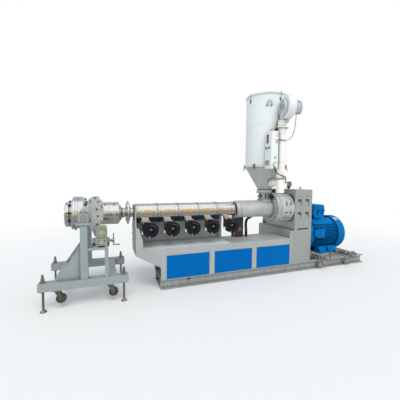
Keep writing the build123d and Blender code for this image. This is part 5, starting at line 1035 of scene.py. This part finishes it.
def add_stage():
    """A pale floor that keeps the shadow and turns into the white backdrop further out."""
    mesh = bmesh.new()
    bmesh.ops.create_grid(mesh, x_segments=1, y_segments=1, size=60)
    data = bpy.data.meshes.new("studio_floor")
    mesh.to_mesh(data)
    mesh.free()
    floor = add_object("studio_floor", data)
    g = Finish("studio_floor")
    g.colour((0.87, 0.87, 0.865, 1))
    g.fill(g.shader, Roughness=0.95, Specular_IOR_Level=0.1)
    reach = g.new("VectorMath", operation="LENGTH")
    g.feed(g.coords, reach.inputs[0])
    far = g.remap(reach.outputs["Value"], FLOOR_NEAR, FLOOR_FAR, smooth=True)
    rays = g.new("LightPath").outputs
    surface = g.shader.outputs["BSDF"]
    for factor, colour in ((rays["Is Glossy Ray"], ROOM_FLOOR), (g.times(far, rays["Is Camera Ray"]), WHITE)):
        blend = g.new("MixShader")
        glow = g.fill(g.new("Emission"), Color=colour)["Emission"]
        for value, socket in zip((factor, surface, glow), blend.inputs):
            g.feed(value, socket)
        surface = blend.outputs["Shader"]
    g.feed(surface, g.surface)
    data.materials.append(g.material)


def add_sun(name, source, strength, angle, tint=(1, 1, 1)):
    data = bpy.data.lights.new(name, "SUN")
    data.energy, data.angle, data.color = strength, math.radians(angle), tint
    sun = add_object(name, data)
    sun.rotation_euler = Vector(source).to_track_quat("Z", "Y").to_euler()
    sun.location = Vector(source) * 6
    sun.visible_glossy = False


def add_world():
    """White for the camera, a plain soft sky for light, and a hall with a bright ceiling for reflections."""
    world = bpy.data.worlds.new("studio")
    bpy.context.scene.world = world
    world.use_nodes = True
    g = Graph(world.node_tree)
    way = g.new("TexCoord").outputs["Generated"]
    height = g.part(way, "Z")
    behind = g.remap(g.part(way, "Y"), -0.05, 0.35, smooth=True)
    level = g.mix(behind, ROOM_FRONT, ROOM_BEHIND)
    walls = g.mix(g.remap(height, -0.2, 0.05, smooth=True), ROOM_FLOOR, level)
    above = g.mix(behind, ROOM_LAMPS, ROOM_CEILING)
    room = g.mix(g.remap(height, 0.32, 0.56, smooth=True), walls, above)
    rays = g.new("LightPath").outputs
    lit = g.mix(rays["Is Glossy Ray"], AMBIENT, room)
    g.fill(g.tree.nodes["Background"], Strength=1.0, Color=g.mix(rays["Is Camera Ray"], lit, WHITE))


set_camera()
for name, cable in CABLES.items():
    if name in nodes:
        lay_cable(name, *cable)
dress_nodes()
for fit in (die_fittings, trolley_fittings, reducer_fittings, cover_fittings, blower_fittings, tray_fittings,
            feed_fittings, gearbox_fittings, motor_fittings, carriage_fittings, frame_fittings,
            dryer_fittings, box_fittings, fan_fittings):
    fit()
for piece in pieces:
    piece.make()
add_stage()
add_world()
add_sun("key", (-0.02, -0.66, 0.75), 1.75, 40, (1.0, 0.975, 0.93))
add_sun("fill", (0.8, -0.5, 0.35), 0.25, 60)
add_sun("side", (-0.92, -0.1, 0.35), 0.4, 60)
bpy.context.scene.view_settings.view_transform = "Standard"
